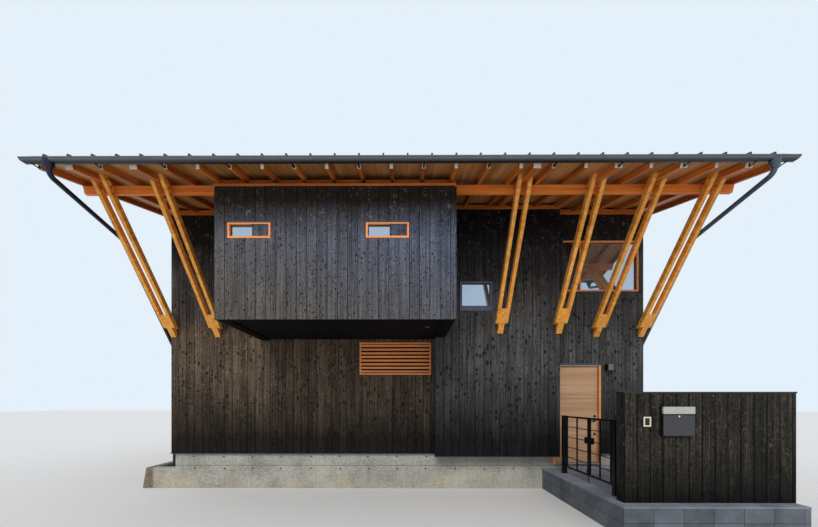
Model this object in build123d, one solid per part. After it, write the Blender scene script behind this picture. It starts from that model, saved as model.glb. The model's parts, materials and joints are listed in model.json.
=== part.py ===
from build123d import *
import math
import os

# A two-storey timber house clad in charred boards, with a deep eave carried by paired struts.
# X runs to the right along the front, Y runs into the house and Z runs up.
# The origin is on the front wall's grid line, halfway along it, at the lowest ground.
# Every size is in millimetres.

# Grid and walls
MODULE = 910.0
MODULES_WIDE = 10.5
MODULES_DEEP = 8
FACE_OUT = 62.5
WALL = 160.0

# Levels
PLINTH_TOP = 730.0
GROUND_DECK = 120.0
BAY_BOTTOM = 717.0
STOREY_SPLIT = 3100.0
UPPER_DECK = 240.0
BOX_DROP = 60.0
BOX_BOTTOM = STOREY_SPLIT - BOX_DROP
BOX_HEAD = 4980.0

# Foundation
RAFT = 200.0
PLINTH_SET_BACK = 50.0
PLINTH_WALL = 150.0
KERB_TOP = 420.0
KERB_REACH = 460.0
KERB_WALL = 150.0
KERB_RETURN = 1200.0
KERB_BATTER = 70.0
ENTRANCE_FLOOR = 522.0
ENTRANCE_DEPTH = 1400.0
UPSTAND = 100.0

# Bay and hanging box, as they stand out from the front wall
BAY_OUT = 355.0
BAY_LEFT = 560.0
BAY_RIGHT = 2990.0
BOX_OUT = 1940.0
BOX_LEFT = -2955.0
BOX_RIGHT = 745.0
SOFFIT = 30.0

# Roof
SLOPE = 0.26
EAVE_OUT = 2393.0
TIP_Z = 5058.0
BACK_EAVE_OUT = 900.0
RAFTER_W = 45.0
RAFTER_RISE = 92.0
ROOF_HALF = 5240.0
BARGE_IN = 50.0
BOARDING = 24.0
BOARDING_LIP = 52.0
ROOFING = 35.0
ROOFING_LIP = 100.0
SEAM_PITCH = 337.0
SEAM_W = 22.0
SEAM_H = 30.0
RIDGE_CAP_HALF = 150.0
RIDGE_CAP_T = 6.0
RIDGE_BEAM_W = 120.0
RIDGE_BEAM_H = 240.0
BLOCKING = 30.0
BLOCKING_RISE = 46.0
BACKING = 8.0
STRIP_T = 20.0
STRIP_H = 28.0
MAIN_STRIP = 60.0
BAY_STRIP = 43.0
BOX_TOP_GAP = 71.0
BOX_STRIP_LAP = 27.0
BOX_STRIP_H = 33.0
BOX_STRIP_T = 25.0

# Eave beam and struts
BEAM_OUT = 1688.0
BEAM_W = 60.0
BEAM_BOTTOM = 5111.0
BEAM_IN = 30.0
BEAM_LEAN = 35.0
STRUT_GAP = 105.0
STRUT_W = 60.0
STRUT_T = 105.0
STRUT_FOOT_UP = 10.0
STRUT_TOE = 35.0
STRUT_STUB = 220.0
STRUT_BLOCK = 510.0
# Rafter spaces counted from the left wall's grid line
STRUT_SPACES = [0, 2, 14.5, 17, 19, 21]

# Gutter and downpipes
GUTTER_PAST = 93.0
GUTTER_GAP = 54.0
GUTTER_W = 120.0
GUTTER_H = 58.0
GUTTER_CORNER = 56.0
GUTTER_T = 4.0
GUTTER_TOP = 5127.0
BACK_GUTTER_DROP = 8.0
BRACKET_W = 22.0
BRACKET_T = 6.0
PIPE_R = 35.0
PIPE_BEND = 110.0
PIPE_X = 4940.0
OUTLET_IN = [368.0, 303.0]
OUTLET_DROP = 150.0
HOPPER_R = 70.0
HOPPER_RIM = 6.0
HOPPER_H = 70.0
FUNNEL_H = 80.0
PIPE_KNEE_Y = -1270.0
PIPE_KNEE_Z = 4600.0
PIPE_WALL_Y = 200.0
PIPE_WALL_Z = 2910.0
PIPE_FOOT_Z = 60.0
CLIP_H = 25.0
CLIP_T = 5.0
CLIP_STEM = 20.0
CLIP_LEVELS = [2400.0, 1200.0]

# Windows: low x or y edge, width, sill, height
FRAME_W = 30.0
FRAME_PROUD = 12.0
FRAME_DEPTH = 90.0
GLASS = 20.0
GLASS_IN = 45.0
BOX_WINDOWS = [(-2755.0, 660.0, 4285.0, 245.0), (-635.0, 660.0, 4285.0, 245.0)]
BOX_PANE = 405.0
BAY_WINDOW = (1040.0, 631.0, 3562.0, 571.0)
CORNER_WINDOW = (3205.0, 1535.0, 4045.0, 1035.0)
CORNER_MULLION = 330.0
LOUVRE_DROP = 760.0
LOUVRE = (-965.0, 1465.0, STOREY_SPLIT - LOUVRE_DROP, 660.0)
SLATS = 8
SLAT_H = 42.0
SLAT_T = 24.0
SIDE_WINDOW_W = 780.0
SIDE_WINDOW_H = 910.0
SIDE_WINDOW_Y = [1430.0, 5070.0]
BACK_WINDOW_X = [-3803.0, -390.0, 3023.0]
LOWER_SILL = 1750.0
UPPER_SILL = 4150.0

# Front door
DOOR_LEFT = 3000.0
DOOR_RIGHT = 3970.0
DOOR_SILL = 510.0
DOOR_HEAD = 2560.0
JAMB = 45.0
THRESHOLD = 20.0
LEAF_T = 50.0
LEAF_IN = 25.0
SWING_GAP = 6.0
LEAF_LIFT = 12.0
HINGE_GAP = 12.0
PIN_CLEAR = 0.3
DOOR_PIN_H = 110.0
DOOR_PIN_Z = [260.0, 1750.0]
LEVER_Z = 1400.0
LOCK_Z = [1130.0, 1490.0]
HANDLE_IN = 60.0
LEVER_L = 115.0
LEVER_R = 9.0
LEVER_OUT = 55.0
ROSE_R = 26.0
ROSE_T = 12.0

# Lamp beside the door
LAMP = (4050.0, 105.0, 2420.0, 125.0)
LAMP_OUT = 150.0

# Entrance step
STEP_LEFT = 2800.0
STEP_RIGHT = 5225.0
STEP_OUT = 2780.0
STEP_TOP = 410.0
PAVING = 20.0
PAVING_LIP = 8.0

# Gate across the step
GATE_X = 3040.0
POST = 75.0
POST_TOP = 1515.0
GATE_POST_OUT = [445.0, 2185.0]
GATE_BOTTOM = 540.0
GATE_SPLIT = 1405.0
GATE_RAIL = 30.0
GATE_STILE = 32.0
GATE_BAR = 20.0
GATE_WIRE = 12.0
GATE_WIRES = 4
KNUCKLE_R = 20.0
KNUCKLE_H = 60.0
PIN_OUT = 30.0
KNUCKLE_ARM = 12.0
KNUCKLE_IN = 75.0
LATCH_Z = 1130.0
LATCH_H = 105.0
LATCH_L = 110.0
LATCH_T = 54.0
BOLT_R = 7.0
BOLT_H = 150.0

# Fence beside the gate
FENCE_LEFT = 2925.0
FENCE_RIGHT = 5238.0
FENCE_OUT = 2583.0
FENCE_T = 175.0
FENCE_TOP = 1890.0
FENCE_BOARD = 18.0
CAP_LIP = 8.0
CAP_H = 22.0
MAILBOX = (3396.0, 418.0, 1320.0, 296.0)
MAILBOX_OUT = 80.0
FLAP_H = 93.0
FLAP_OUT = 88.0
INTERCOM = (3170.0, 100.0, 1442.0, 132.0)
INTERCOM_OUT = 25.0

# Places worked out from the sizes above
HALF = MODULE * MODULES_WIDE / 2
DEPTH = MODULE * MODULES_DEEP
PITCH = MODULE / 2
LEFT = -HALF - FACE_OUT
RIGHT = HALF + FACE_OUT
FRONT = -FACE_OUT
BACK = DEPTH + FACE_OUT
IN_LEFT = LEFT + WALL
IN_RIGHT = RIGHT - WALL
IN_FRONT = FRONT + WALL
IN_BACK = BACK - WALL
BAY_FRONT = FRONT - BAY_OUT
BOX_FRONT = FRONT - BOX_OUT
BOX_IN_LEFT = BOX_LEFT + WALL
BOX_IN_RIGHT = BAY_LEFT
TIP_Y = FRONT - EAVE_OUT
END_LEAN = RAFTER_RISE * SLOPE / (1 + SLOPE ** 2)
RIDGE_Y = DEPTH / 2
BACK_TIP_Y = BACK + BACK_EAVE_OUT
BEAM_FRONT = FRONT - BEAM_OUT
BEAM_END = ROOF_HALF - BEAM_IN
BARGE_X = ROOF_HALF - BARGE_IN
GUTTER_HALF = ROOF_HALF + GUTTER_PAST
OUTLET_X = [OUTLET_IN[0] - GUTTER_HALF, GUTTER_HALF - OUTLET_IN[1]]
STRUT_FOOT_Z = STOREY_SPLIT + STRUT_FOOT_UP
PLINTH_FRONT = FRONT + PLINTH_SET_BACK
PLINTH_LEFT = LEFT + PLINTH_SET_BACK
PLINTH_RIGHT = RIGHT - PLINTH_SET_BACK
PLINTH_BACK = BACK - PLINTH_SET_BACK
STRUT_X = [-HALF + n * PITCH for n in STRUT_SPACES]
RAFTER_COUNT = int(2 * MODULES_WIDE) + 1

STANDING = (Align.CENTER, Align.CENTER, Align.MIN)

os.makedirs("parts", exist_ok=True)


def save(node, *solids):
    """Write one sub-part, one or more solids that don't touch."""
    shape = solids[0] if len(solids) == 1 else Compound(children=list(solids))
    export_step(shape, f"parts/{node}.step")


def block(x, y, z):
    """A box between two corners, given as a pair of values on each axis."""
    box = Box(x[1] - x[0], y[1] - y[0], z[1] - z[0], align=(Align.MIN, Align.MIN, Align.MIN))
    return Pos(x[0], y[0], z[0]) * box


def along_x(points, x):
    """A side outline of (y, z) points run from one x to another."""
    outline = Plane.YZ.offset(x[0]) * Polygon(*points, align=None)
    return extrude(outline, x[1] - x[0], dir=(1, 0, 0))


def along_y(points, y):
    """A front outline of (x, z) points run from one y to another."""
    outline = Plane.XZ.offset(-y[0]) * Polygon(*points, align=None)
    return extrude(outline, y[1] - y[0], dir=(0, 1, 0))


def under(y):
    """Underside of the rafters at a place across the house."""
    if y <= RIDGE_Y:
        return TIP_Z + SLOPE * (y - TIP_Y)
    return TIP_Z + SLOPE * (2 * RIDGE_Y - TIP_Y - y)


def to_rafters(x, y, bottom):
    """A wall from a level up to the rafters, in side outline."""
    points = [(y[0], bottom), (y[1], bottom), (y[1], under(y[1])), (y[0], under(y[0]))]
    return along_x(points, x)


def layer(x, y, low, high):
    """A sloping layer, low and high above the underside of the rafters."""
    points = [(y[0], under(y[0]) + low), (y[1], under(y[1]) + low)]
    points += [(y[1], under(y[1]) + high), (y[0], under(y[0]) + high)]
    return along_x(points, x)


def rafter(middle, width, tip_y):
    """A rafter from the ridge to a tip on either side, its end cut square to its length."""
    way = 1 if tip_y > RIDGE_Y else -1
    top_y = tip_y + way * END_LEAN
    points = [(tip_y, under(tip_y)), (RIDGE_Y, under(RIDGE_Y)), (RIDGE_Y, under(RIDGE_Y) + RAFTER_RISE)]
    points.append((top_y, under(top_y) + RAFTER_RISE))
    return along_x(points, centred(middle, width))


def centred(middle, width):
    """A pair of values either side of a middle."""
    return (middle - width / 2, middle + width / 2)


def spans(row):
    """The x and z spans of a window row."""
    return (row[0], row[0] + row[1]), (row[2], row[2] + row[3])


def hole(row, y):
    """The cut that a window or louvre needs through a front wall."""
    x, z = spans(row)
    return block(x, y, z)


def window_frame(row, face):
    """A square frame, set in a front wall and a little proud of its face."""
    x, z = spans(row)
    y = (face - FRAME_PROUD, face - FRAME_PROUD + FRAME_DEPTH)
    inner_x = (x[0] + FRAME_W, x[1] - FRAME_W)
    inner_z = (z[0] + FRAME_W, z[1] - FRAME_W)
    return block(x, y, z) - block(inner_x, y, inner_z)


def window_glass(row, face):
    """The pane that fills a front window's frame."""
    x, z = spans(row)
    y = (face + GLASS_IN, face + GLASS_IN + GLASS)
    return block((x[0] + FRAME_W, x[1] - FRAME_W), y, (z[0] + FRAME_W, z[1] - FRAME_W))


def turned(shape, x):
    """Carry a piece made for a front wall at the origin round to a side wall at x."""
    return Pos(x, 0, 0) * Rot(0, 0, 90 if x > 0 else -90) * shape


def make_foundation():
    """Raft, plinth walls, the side kerb with its battered end, and the sunk floor inside the front door."""
    x = (PLINTH_LEFT, PLINTH_RIGHT)
    y = (PLINTH_FRONT, PLINTH_BACK)
    save("foundation_raft", block(x, y, (0, RAFT)))
    z = (RAFT, PLINTH_TOP)
    front = block(x, (PLINTH_FRONT, PLINTH_FRONT + PLINTH_WALL), z)
    door_cut = block((DOOR_LEFT, DOOR_RIGHT), y, (DOOR_SILL, PLINTH_TOP))
    side_y = (PLINTH_FRONT + PLINTH_WALL, PLINTH_BACK - PLINTH_WALL)
    left = block((PLINTH_LEFT, PLINTH_LEFT + PLINTH_WALL), side_y, z)
    right = block((PLINTH_RIGHT - PLINTH_WALL, PLINTH_RIGHT), side_y, z)
    back = block(x, (PLINTH_BACK - PLINTH_WALL, PLINTH_BACK), z)
    save("plinth_front_and_back", front - door_cut, back)
    save("plinth_ends", left, right)
    turn_x = PLINTH_LEFT - KERB_REACH
    kerb = block((turn_x, PLINTH_LEFT), (PLINTH_FRONT, PLINTH_FRONT + KERB_WALL), (0, KERB_TOP))
    end = [(turn_x - KERB_WALL - KERB_BATTER, 0), (turn_x, 0)]
    end += [(turn_x, KERB_TOP), (turn_x - KERB_WALL, KERB_TOP)]
    kerb += along_y(end, (PLINTH_FRONT, PLINTH_FRONT + KERB_RETURN))
    save("side_kerb", kerb)
    floor_y = (PLINTH_FRONT + PLINTH_WALL, PLINTH_FRONT + PLINTH_WALL + ENTRANCE_DEPTH)
    floor_x = (BAY_RIGHT - WALL, PLINTH_RIGHT - PLINTH_WALL)
    floor = block(floor_x, (floor_y[0], floor_y[1] + UPSTAND), z)
    recess_x = (floor_x[0] + UPSTAND, floor_x[1])
    save("entrance_floor", floor - block(recess_x, floor_y, (ENTRANCE_FLOOR, PLINTH_TOP)))


def make_floors():
    """The two timber floors, reaching into the bay and the hanging box."""
    z = (PLINTH_TOP, PLINTH_TOP + GROUND_DECK)
    inside_y = (IN_FRONT, IN_BACK)
    bay_x = (BAY_LEFT + WALL, BAY_RIGHT - WALL)
    bay_y = (BAY_FRONT + WALL, IN_FRONT)
    ground = block((IN_LEFT, IN_RIGHT), inside_y, z) + block(bay_x, bay_y, z)
    hall_y = (IN_FRONT, PLINTH_FRONT + PLINTH_WALL + ENTRANCE_DEPTH)
    ground -= block((BAY_RIGHT - WALL + UPSTAND, IN_RIGHT), hall_y, z)
    save("ground_floor", ground)
    z = (STOREY_SPLIT, STOREY_SPLIT + UPPER_DECK)
    upper = block((IN_LEFT, IN_RIGHT), inside_y, z) + block(bay_x, bay_y, z)
    upper += block((BOX_IN_LEFT, BOX_IN_RIGHT), (BOX_FRONT + WALL, IN_FRONT), z)
    save("upper_floor", upper)


def make_front_walls():
    """The main front wall, split beside and over the door and round the box's way in."""
    y = (FRONT, IN_FRONT)
    lower = block((LEFT, BAY_LEFT), y, (PLINTH_TOP, STOREY_SPLIT)) - hole(LOUVRE, y)
    save("front_wall_lower", lower)
    save("front_wall_upper", to_rafters((LEFT, BOX_IN_LEFT), y, STOREY_SPLIT))
    save("front_wall_head", to_rafters((BOX_IN_LEFT, BAY_LEFT), y, BOX_HEAD))
    over = to_rafters((BAY_RIGHT, RIGHT), y, DOOR_HEAD) - hole(CORNER_WINDOW, y)
    save("wall_over_door", over)
    save("wall_beside_door", block((DOOR_RIGHT, RIGHT), y, (PLINTH_TOP, DOOR_HEAD)))


def make_bay():
    """The bay that stands out from the front wall and clears the plinth."""
    y = (BAY_FRONT, BAY_FRONT + WALL)
    front = to_rafters((BAY_LEFT, BAY_RIGHT), y, BAY_BOTTOM) - hole(BAY_WINDOW, y)
    save("bay_front", front)
    side_y = (BAY_FRONT + WALL, IN_FRONT)
    left = to_rafters((BAY_LEFT, BAY_LEFT + WALL), side_y, PLINTH_TOP)
    right = to_rafters((BAY_RIGHT - WALL, BAY_RIGHT), side_y, PLINTH_TOP)
    save("bay_sides", left, right)


def make_box():
    """The box that hangs from the upper floor under the eave, its boards short of the rafters."""
    x = (BOX_LEFT, BOX_RIGHT)
    y = (BOX_FRONT, BOX_FRONT + WALL)
    front = block(x, (y[0], y[1] - BLOCKING), (BOX_BOTTOM, under(BOX_FRONT) - BOX_TOP_GAP))
    front += to_rafters(x, (y[1] - BLOCKING, y[1]), BOX_BOTTOM)
    for row in BOX_WINDOWS:
        front -= hole(row, y)
    save("box_front", front)
    left = to_rafters((BOX_LEFT, BOX_IN_LEFT), (y[1], FRONT), BOX_BOTTOM)
    right = to_rafters((BOX_IN_RIGHT, BOX_RIGHT), (y[1], BAY_FRONT), BOX_BOTTOM)
    save("box_sides", left, right)
    soffit_x = (BOX_IN_LEFT, BOX_IN_RIGHT)
    save("box_soffit", block(soffit_x, (y[1], FRONT), (STOREY_SPLIT - SOFFIT, STOREY_SPLIT)))


def side_rows():
    """The plain windows of one side wall, two to a storey."""
    return [(y, SIDE_WINDOW_W, sill, SIDE_WINDOW_H)
            for sill in (LOWER_SILL, UPPER_SILL) for y in SIDE_WINDOW_Y]


def back_rows():
    """The plain windows of the back wall, three to a storey."""
    return [(x, SIDE_WINDOW_W, sill, SIDE_WINDOW_H)
            for sill in (LOWER_SILL, UPPER_SILL) for x in BACK_WINDOW_X]


def make_side_and_back_walls():
    """Gable walls on the left and right, and the back wall between them."""
    outline = [(IN_FRONT, PLINTH_TOP), (BACK, PLINTH_TOP), (BACK, under(BACK))]
    outline += [(RIDGE_Y, under(RIDGE_Y)), (IN_FRONT, under(IN_FRONT))]
    for name, x in (("left_wall", (LEFT, IN_LEFT)), ("right_wall", (IN_RIGHT, RIGHT))):
        wall = along_x(outline, x)
        for low, width, sill, height in side_rows():
            wall -= block(x, (low, low + width), (sill, sill + height))
        save(name, wall)
    back = to_rafters((IN_LEFT, IN_RIGHT), (IN_BACK, BACK), PLINTH_TOP)
    for row in back_rows():
        back -= hole(row, (IN_BACK, BACK))
    save("back_wall", back)


def side_piece(maker, row, x):
    """A frame or pane made for a front wall and turned on to a side wall."""
    low, width, sill, height = row
    start = low if x > 0 else -low - width
    return turned(maker((start, width, sill, height), 0), x)


def back_piece(maker, row):
    """A frame or pane made for a front wall and turned on to the back wall."""
    low, width, sill, height = row
    return Pos(0, BACK, 0) * Rot(0, 0, 180) * maker((-low - width, width, sill, height), 0)


def all_pieces(maker):
    """One frame or pane for every plain window at the sides and back."""
    pieces = [side_piece(maker, row, x) for x in (LEFT, RIGHT) for row in side_rows()]
    return pieces + [back_piece(maker, row) for row in back_rows()]


def make_windows():
    """Timber frames, the bay's metal frame, panes and the louvre."""
    frames = [window_frame(row, BOX_FRONT) for row in BOX_WINDOWS]
    corner_x, corner_z = spans(CORNER_WINDOW)
    mullion_x = (corner_x[0] + CORNER_MULLION, corner_x[0] + CORNER_MULLION + FRAME_W)
    mullion_y = (FRONT - FRAME_PROUD, FRONT - FRAME_PROUD + FRAME_DEPTH)
    frames.append(window_frame(CORNER_WINDOW, FRONT) + block(mullion_x, mullion_y, corner_z))
    save("timber_window_frames", *frames, *all_pieces(window_frame))
    save("bay_window_frame", window_frame(BAY_WINDOW, BAY_FRONT))
    panels = [block((corner_x[0] + FRAME_W, mullion_x[0]), (FRONT, FRONT + GLASS_IN + GLASS),
                    (corner_z[0] + FRAME_W, corner_z[1] - FRAME_W))]
    right_part = (mullion_x[0], corner_x[1] - mullion_x[0], corner_z[0], corner_z[1] - corner_z[0])
    panes = [window_glass(BAY_WINDOW, BAY_FRONT), window_glass(right_part, FRONT)]
    for low, width, sill, height in BOX_WINDOWS:
        panes.append(window_glass((low, BOX_PANE, sill, height), BOX_FRONT))
        x = (low + BOX_PANE - FRAME_W, low + width - FRAME_W)
        z = (sill + FRAME_W, sill + height - FRAME_W)
        panels.append(block(x, (BOX_FRONT, BOX_FRONT + GLASS_IN + GLASS), z))
    save("window_side_panels", *panels)
    save("window_glass", *panes, *all_pieces(window_glass))
    x, z = spans(LOUVRE)
    louvre = window_frame(LOUVRE, FRONT)
    step = (z[1] - z[0] - 2 * FRAME_W) / SLATS
    for n in range(SLATS):
        low = z[0] + FRAME_W + n * step + (step - SLAT_H) / 2
        louvre += block((x[0] + FRAME_W, x[1] - FRAME_W), (FRONT, FRONT + SLAT_T), (low, low + SLAT_H))
    save("louvre", louvre)


def rafter_list():
    """Every rafter's middle and width, the wide ones where a strut pair clasps them."""
    plain = [-HALF + n * PITCH for n in range(RAFTER_COUNT)]
    plain = [x for x in plain if all(abs(x - wide) > RAFTER_W for wide in STRUT_X)]
    rows = [(x, RAFTER_W) for x in plain] + [(x, STRUT_GAP) for x in STRUT_X]
    return sorted(rows)


def make_rafters():
    """Plain and wide rafters over the front, plain ones behind, and barge rafters."""
    plain = [x for x, width in rafter_list() if width == RAFTER_W]
    plain += [-BARGE_X, BARGE_X]
    save("rafters_front", *[rafter(x, RAFTER_W, TIP_Y) for x in plain])
    save("rafters_wide", *[rafter(x, STRUT_GAP, TIP_Y) for x in STRUT_X])
    every = [-HALF + n * PITCH for n in range(RAFTER_COUNT)] + [-BARGE_X, BARGE_X]
    save("rafters_back", *[rafter(x, RAFTER_W, BACK_TIP_Y) for x in every])


def blocking(y, x):
    """Low boards between the rafters over a wall, with a slot left above them."""
    boards = []
    rows = rafter_list()
    for (low, low_w), (high, high_w) in zip(rows, rows[1:]):
        start = max(low + low_w / 2, x[0])
        end = min(high - high_w / 2, x[1])
        if end - start > BLOCKING:
            boards.append(layer((start, end), (y, y + BLOCKING), 0, BLOCKING_RISE))
    return boards


def top_strip(x, face, drop):
    """An orange strip near the top of a wall, with a thin board from it up to the rafters."""
    low = under(face) - drop
    return block(x, (face - STRIP_T, face), (low, low + STRIP_H)) + to_rafters(x, (face - BACKING, face), low)


def make_roof_edges():
    """Boards between the rafters and the orange strips at the tops of the walls."""
    left, right = (LEFT, BOX_LEFT), (BAY_RIGHT, RIGHT)
    box, bay = (BOX_LEFT, BOX_RIGHT), (BOX_RIGHT, BAY_RIGHT)
    boards = blocking(FRONT, left) + blocking(FRONT, right) + blocking(BAY_FRONT, bay)
    boards += blocking(BOX_FRONT + WALL - BLOCKING, box)
    save("rafter_blocking", *boards)
    low = under(BOX_FRONT) - BOX_TOP_GAP - BOX_STRIP_LAP
    box_strip = block(box, (BOX_FRONT - BOX_STRIP_T, BOX_FRONT), (low, low + BOX_STRIP_H))
    save("wall_top_trims", top_strip(left, FRONT, MAIN_STRIP), top_strip(right, FRONT, MAIN_STRIP),
         top_strip(bay, BAY_FRONT, BAY_STRIP), box_strip)


def make_roof():
    """Boarding, seamed metal roofing with its battens, the ridge beam and the ridge cap."""
    x = (-ROOF_HALF, ROOF_HALF)
    top = RAFTER_RISE + BOARDING
    front_y = (TIP_Y - BOARDING_LIP, RIDGE_Y)
    back_y = (RIDGE_Y, BACK_TIP_Y + BOARDING_LIP)
    save("roof_boarding_front", layer(x, front_y, RAFTER_RISE, top))
    save("roof_boarding_back", layer(x, back_y, RAFTER_RISE, top))
    seams = int(ROOF_HALF / SEAM_PITCH)
    metal_front_y = (TIP_Y - ROOFING_LIP, RIDGE_Y)
    metal_back_y = (RIDGE_Y, BACK_TIP_Y + ROOFING_LIP)
    for name, y in (("roofing_front", metal_front_y), ("roofing_back", metal_back_y)):
        metal = layer(x, y, top, top + ROOFING)
        ribs = [layer(centred(n * SEAM_PITCH, SEAM_W), y, top, top + ROOFING + SEAM_H)
                for n in range(-seams, seams + 1)]
        save(name, metal.fuse(*ribs))
    beam_z = (under(RIDGE_Y) - RIDGE_BEAM_H - SLOPE * RIDGE_BEAM_W / 2, under(RIDGE_Y))
    beam_y = centred(RIDGE_Y, RIDGE_BEAM_W)
    beam = [(beam_y[0], beam_z[0]), (beam_y[1], beam_z[0]), (beam_y[1], under(beam_y[1]))]
    beam += [(RIDGE_Y, beam_z[1]), (beam_y[0], under(beam_y[0]))]
    save("ridge_beam", along_x(beam, (IN_LEFT, IN_RIGHT)))
    low = top + ROOFING + SEAM_H
    cap_y = (RIDGE_Y - RIDGE_CAP_HALF, RIDGE_Y + RIDGE_CAP_HALF)
    cap = layer(x, (cap_y[0], RIDGE_Y), low, low + RIDGE_CAP_T)
    cap += layer(x, (RIDGE_Y, cap_y[1]), low, low + RIDGE_CAP_T)
    save("ridge_cap", cap)


def make_eave_beam():
    """The beam under the rafters, in two lengths either side of the box, with slanted outer ends."""
    y = (BEAM_FRONT, BEAM_FRONT + BEAM_W)
    lengths = []
    for start, side in ((BOX_LEFT, -1), (BOX_RIGHT, 1)):
        end = side * BEAM_END
        top = under(y[1])
        outline = [(start, BEAM_BOTTOM), (end - side * BEAM_LEAN, BEAM_BOTTOM), (end, top), (start, top)]
        lengths.append(along_y(outline, y) & to_rafters(sorted((start, end)), y, BEAM_BOTTOM))
    save("eave_beams", *lengths)


def strut_angle(foot_y):
    """Slope of a strut whose upper face just meets the beam's lower edge."""
    run = foot_y - STRUT_TOE - BEAM_FRONT
    rise = BEAM_BOTTOM - STRUT_FOOT_Z
    return math.acos(STRUT_T / math.hypot(run, rise)) - math.atan2(run, rise)


def strut_pair(x, foot_y):
    """Two timbers that clasp a wide rafter above and a foot block against the wall."""
    angle = strut_angle(foot_y)
    sine, cosine = math.sin(angle), math.cos(angle)
    toe = foot_y - STRUT_TOE
    level = STRUT_T / sine

    def outer(length):
        return toe - length * cosine, STRUT_FOOT_Z + length * sine

    def top(shift):
        roof = under(TIP_Y) + RAFTER_RISE + SLOPE * (toe + shift - TIP_Y)
        length = (roof - STRUT_FOOT_Z) / (sine + SLOPE * cosine)
        y, z = outer(length)
        return y + shift, z

    low = outer(STRUT_STUB)
    timber = [low, top(0), top(level), (low[0] + level, low[1])]
    timbers = []
    for side in (-1, 1):
        inner = x + side * STRUT_GAP / 2
        timbers.append(along_x(timber, sorted((inner, inner + side * STRUT_W))))
    high = outer(STRUT_BLOCK)
    wall_z = STRUT_FOOT_Z + (level - STRUT_TOE) * math.tan(angle)
    foot = [(toe, STRUT_FOOT_Z), high, (high[0] + level, high[1]), (foot_y, wall_z), (foot_y, STRUT_FOOT_Z)]
    return timbers, along_x(foot, centred(x, STRUT_GAP))


def make_struts():
    """Six pairs, of which the ones in front of the bay foot on its face."""
    struts = []
    feet = []
    for x in STRUT_X:
        foot_y = BAY_FRONT if BAY_LEFT < x < BAY_RIGHT else FRONT
        timbers, foot = strut_pair(x, foot_y)
        struts += timbers
        feet.append(foot)
    save("eave_struts", *struts)
    save("strut_feet", *feet)


def lower_half(width, inset):
    """The part of a rounded rectangle below its middle, made smaller by an inset."""
    height = GUTTER_H - inset
    whole = RectangleRounded(width - 2 * inset, 2 * height, GUTTER_CORNER - inset)
    return whole - Pos(0, height) * Rectangle(width, 2 * height)


def trough(middle, rim, inset):
    """A solid hanging from a rim, its lower edges rounded along the sides and at both ends."""
    section = extrude(Plane.YZ * lower_half(GUTTER_W, inset), GUTTER_HALF, both=True)
    length = extrude(Plane.XZ * lower_half(2 * GUTTER_HALF, inset), GUTTER_W, both=True)
    return Pos(0, middle, rim) * (section & length)


def bracket(x, tip_y, rim):
    """A strap down a rafter's leaning end, with an arm on under the gutter."""
    way = 1 if tip_y > RIDGE_Y else -1
    foot = rim - GUTTER_H
    tip_z = under(tip_y)

    def end_face(z):
        return tip_y + way * SLOPE * (z - tip_z)

    low, high = foot - BRACKET_T, tip_z + RAFTER_RISE / 2
    strap = [(end_face(low), low), (end_face(high), high)]
    strap += [(end_face(high) + way * BRACKET_T, high), (end_face(low) + way * BRACKET_T, low)]
    arm_y = sorted((end_face(foot), tip_y + way * (GUTTER_GAP + GUTTER_W / 2 + BRACKET_T)))
    width = centred(x, BRACKET_W)
    return along_x(strap, width) + block(width, arm_y, (low, foot))


def make_gutters():
    """Front and back gutters on straps from every second rafter's end and the barge rafters."""
    back_rim = under(BACK_TIP_Y) + GUTTER_TOP - TIP_Z - BACK_GUTTER_DROP
    places = [-HALF + n * PITCH for n in range(1, RAFTER_COUNT, 2)] + [-BARGE_X, BARGE_X]
    gutters = []
    straps = []
    for tip_y, way, rim in ((TIP_Y, -1, GUTTER_TOP), (BACK_TIP_Y, 1, back_rim)):
        middle = tip_y + way * (GUTTER_GAP + GUTTER_W / 2)
        gutters.append(trough(middle, rim, 0) - trough(middle, rim, GUTTER_T))
        straps += [bracket(x, tip_y, rim) for x in places]
    save("gutters", *gutters)
    save("gutter_brackets", *straps)


def hopper(x, middle):
    """The collar that wraps the front gutter at an outlet and narrows to the pipe."""
    top = GUTTER_TOP - HOPPER_RIM
    collar = Pos(x, middle, top - HOPPER_H) * Cylinder(HOPPER_R, HOPPER_H, align=STANDING)
    funnel = Cone(PIPE_R, HOPPER_R, FUNNEL_H, align=STANDING)
    collar += Pos(x, middle, top - HOPPER_H - FUNNEL_H) * funnel
    return collar - trough(middle, GUTTER_TOP, 0)


def make_downpipes():
    """A bent pipe at each side: from the gutter, along the outer struts and down the side wall."""
    outlet_y = TIP_Y - GUTTER_GAP - GUTTER_W / 2
    outlet_z = GUTTER_TOP - GUTTER_H
    pipes = []
    for outlet_x in OUTLET_X:
        side_x = math.copysign(PIPE_X, outlet_x)
        route = [(outlet_x, outlet_y, outlet_z), (outlet_x, outlet_y, outlet_z - OUTLET_DROP)]
        route.append((side_x, PIPE_KNEE_Y, PIPE_KNEE_Z))
        route.append((side_x, PIPE_WALL_Y, PIPE_WALL_Z))
        route.append((side_x, PIPE_WALL_Y, PIPE_FOOT_Z))
        path = FilletPolyline(*route, radius=PIPE_BEND)
        start = Plane(origin=route[0], z_dir=(0, 0, -1))
        pipe = sweep(start * Circle(PIPE_R), path=path) + hopper(outlet_x, outlet_y)
        wall_x = math.copysign(RIGHT, outlet_x)
        for z in CLIP_LEVELS:
            pipe += Pos(side_x, PIPE_WALL_Y, z) * Cylinder(PIPE_R + CLIP_T, CLIP_H)
            stem_y, stem_z = centred(PIPE_WALL_Y, CLIP_STEM), centred(z, CLIP_H)
            pipe += block(sorted((wall_x, side_x)), stem_y, stem_z)
        pipes.append(pipe)
    save("downpipes", *pipes)


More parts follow.
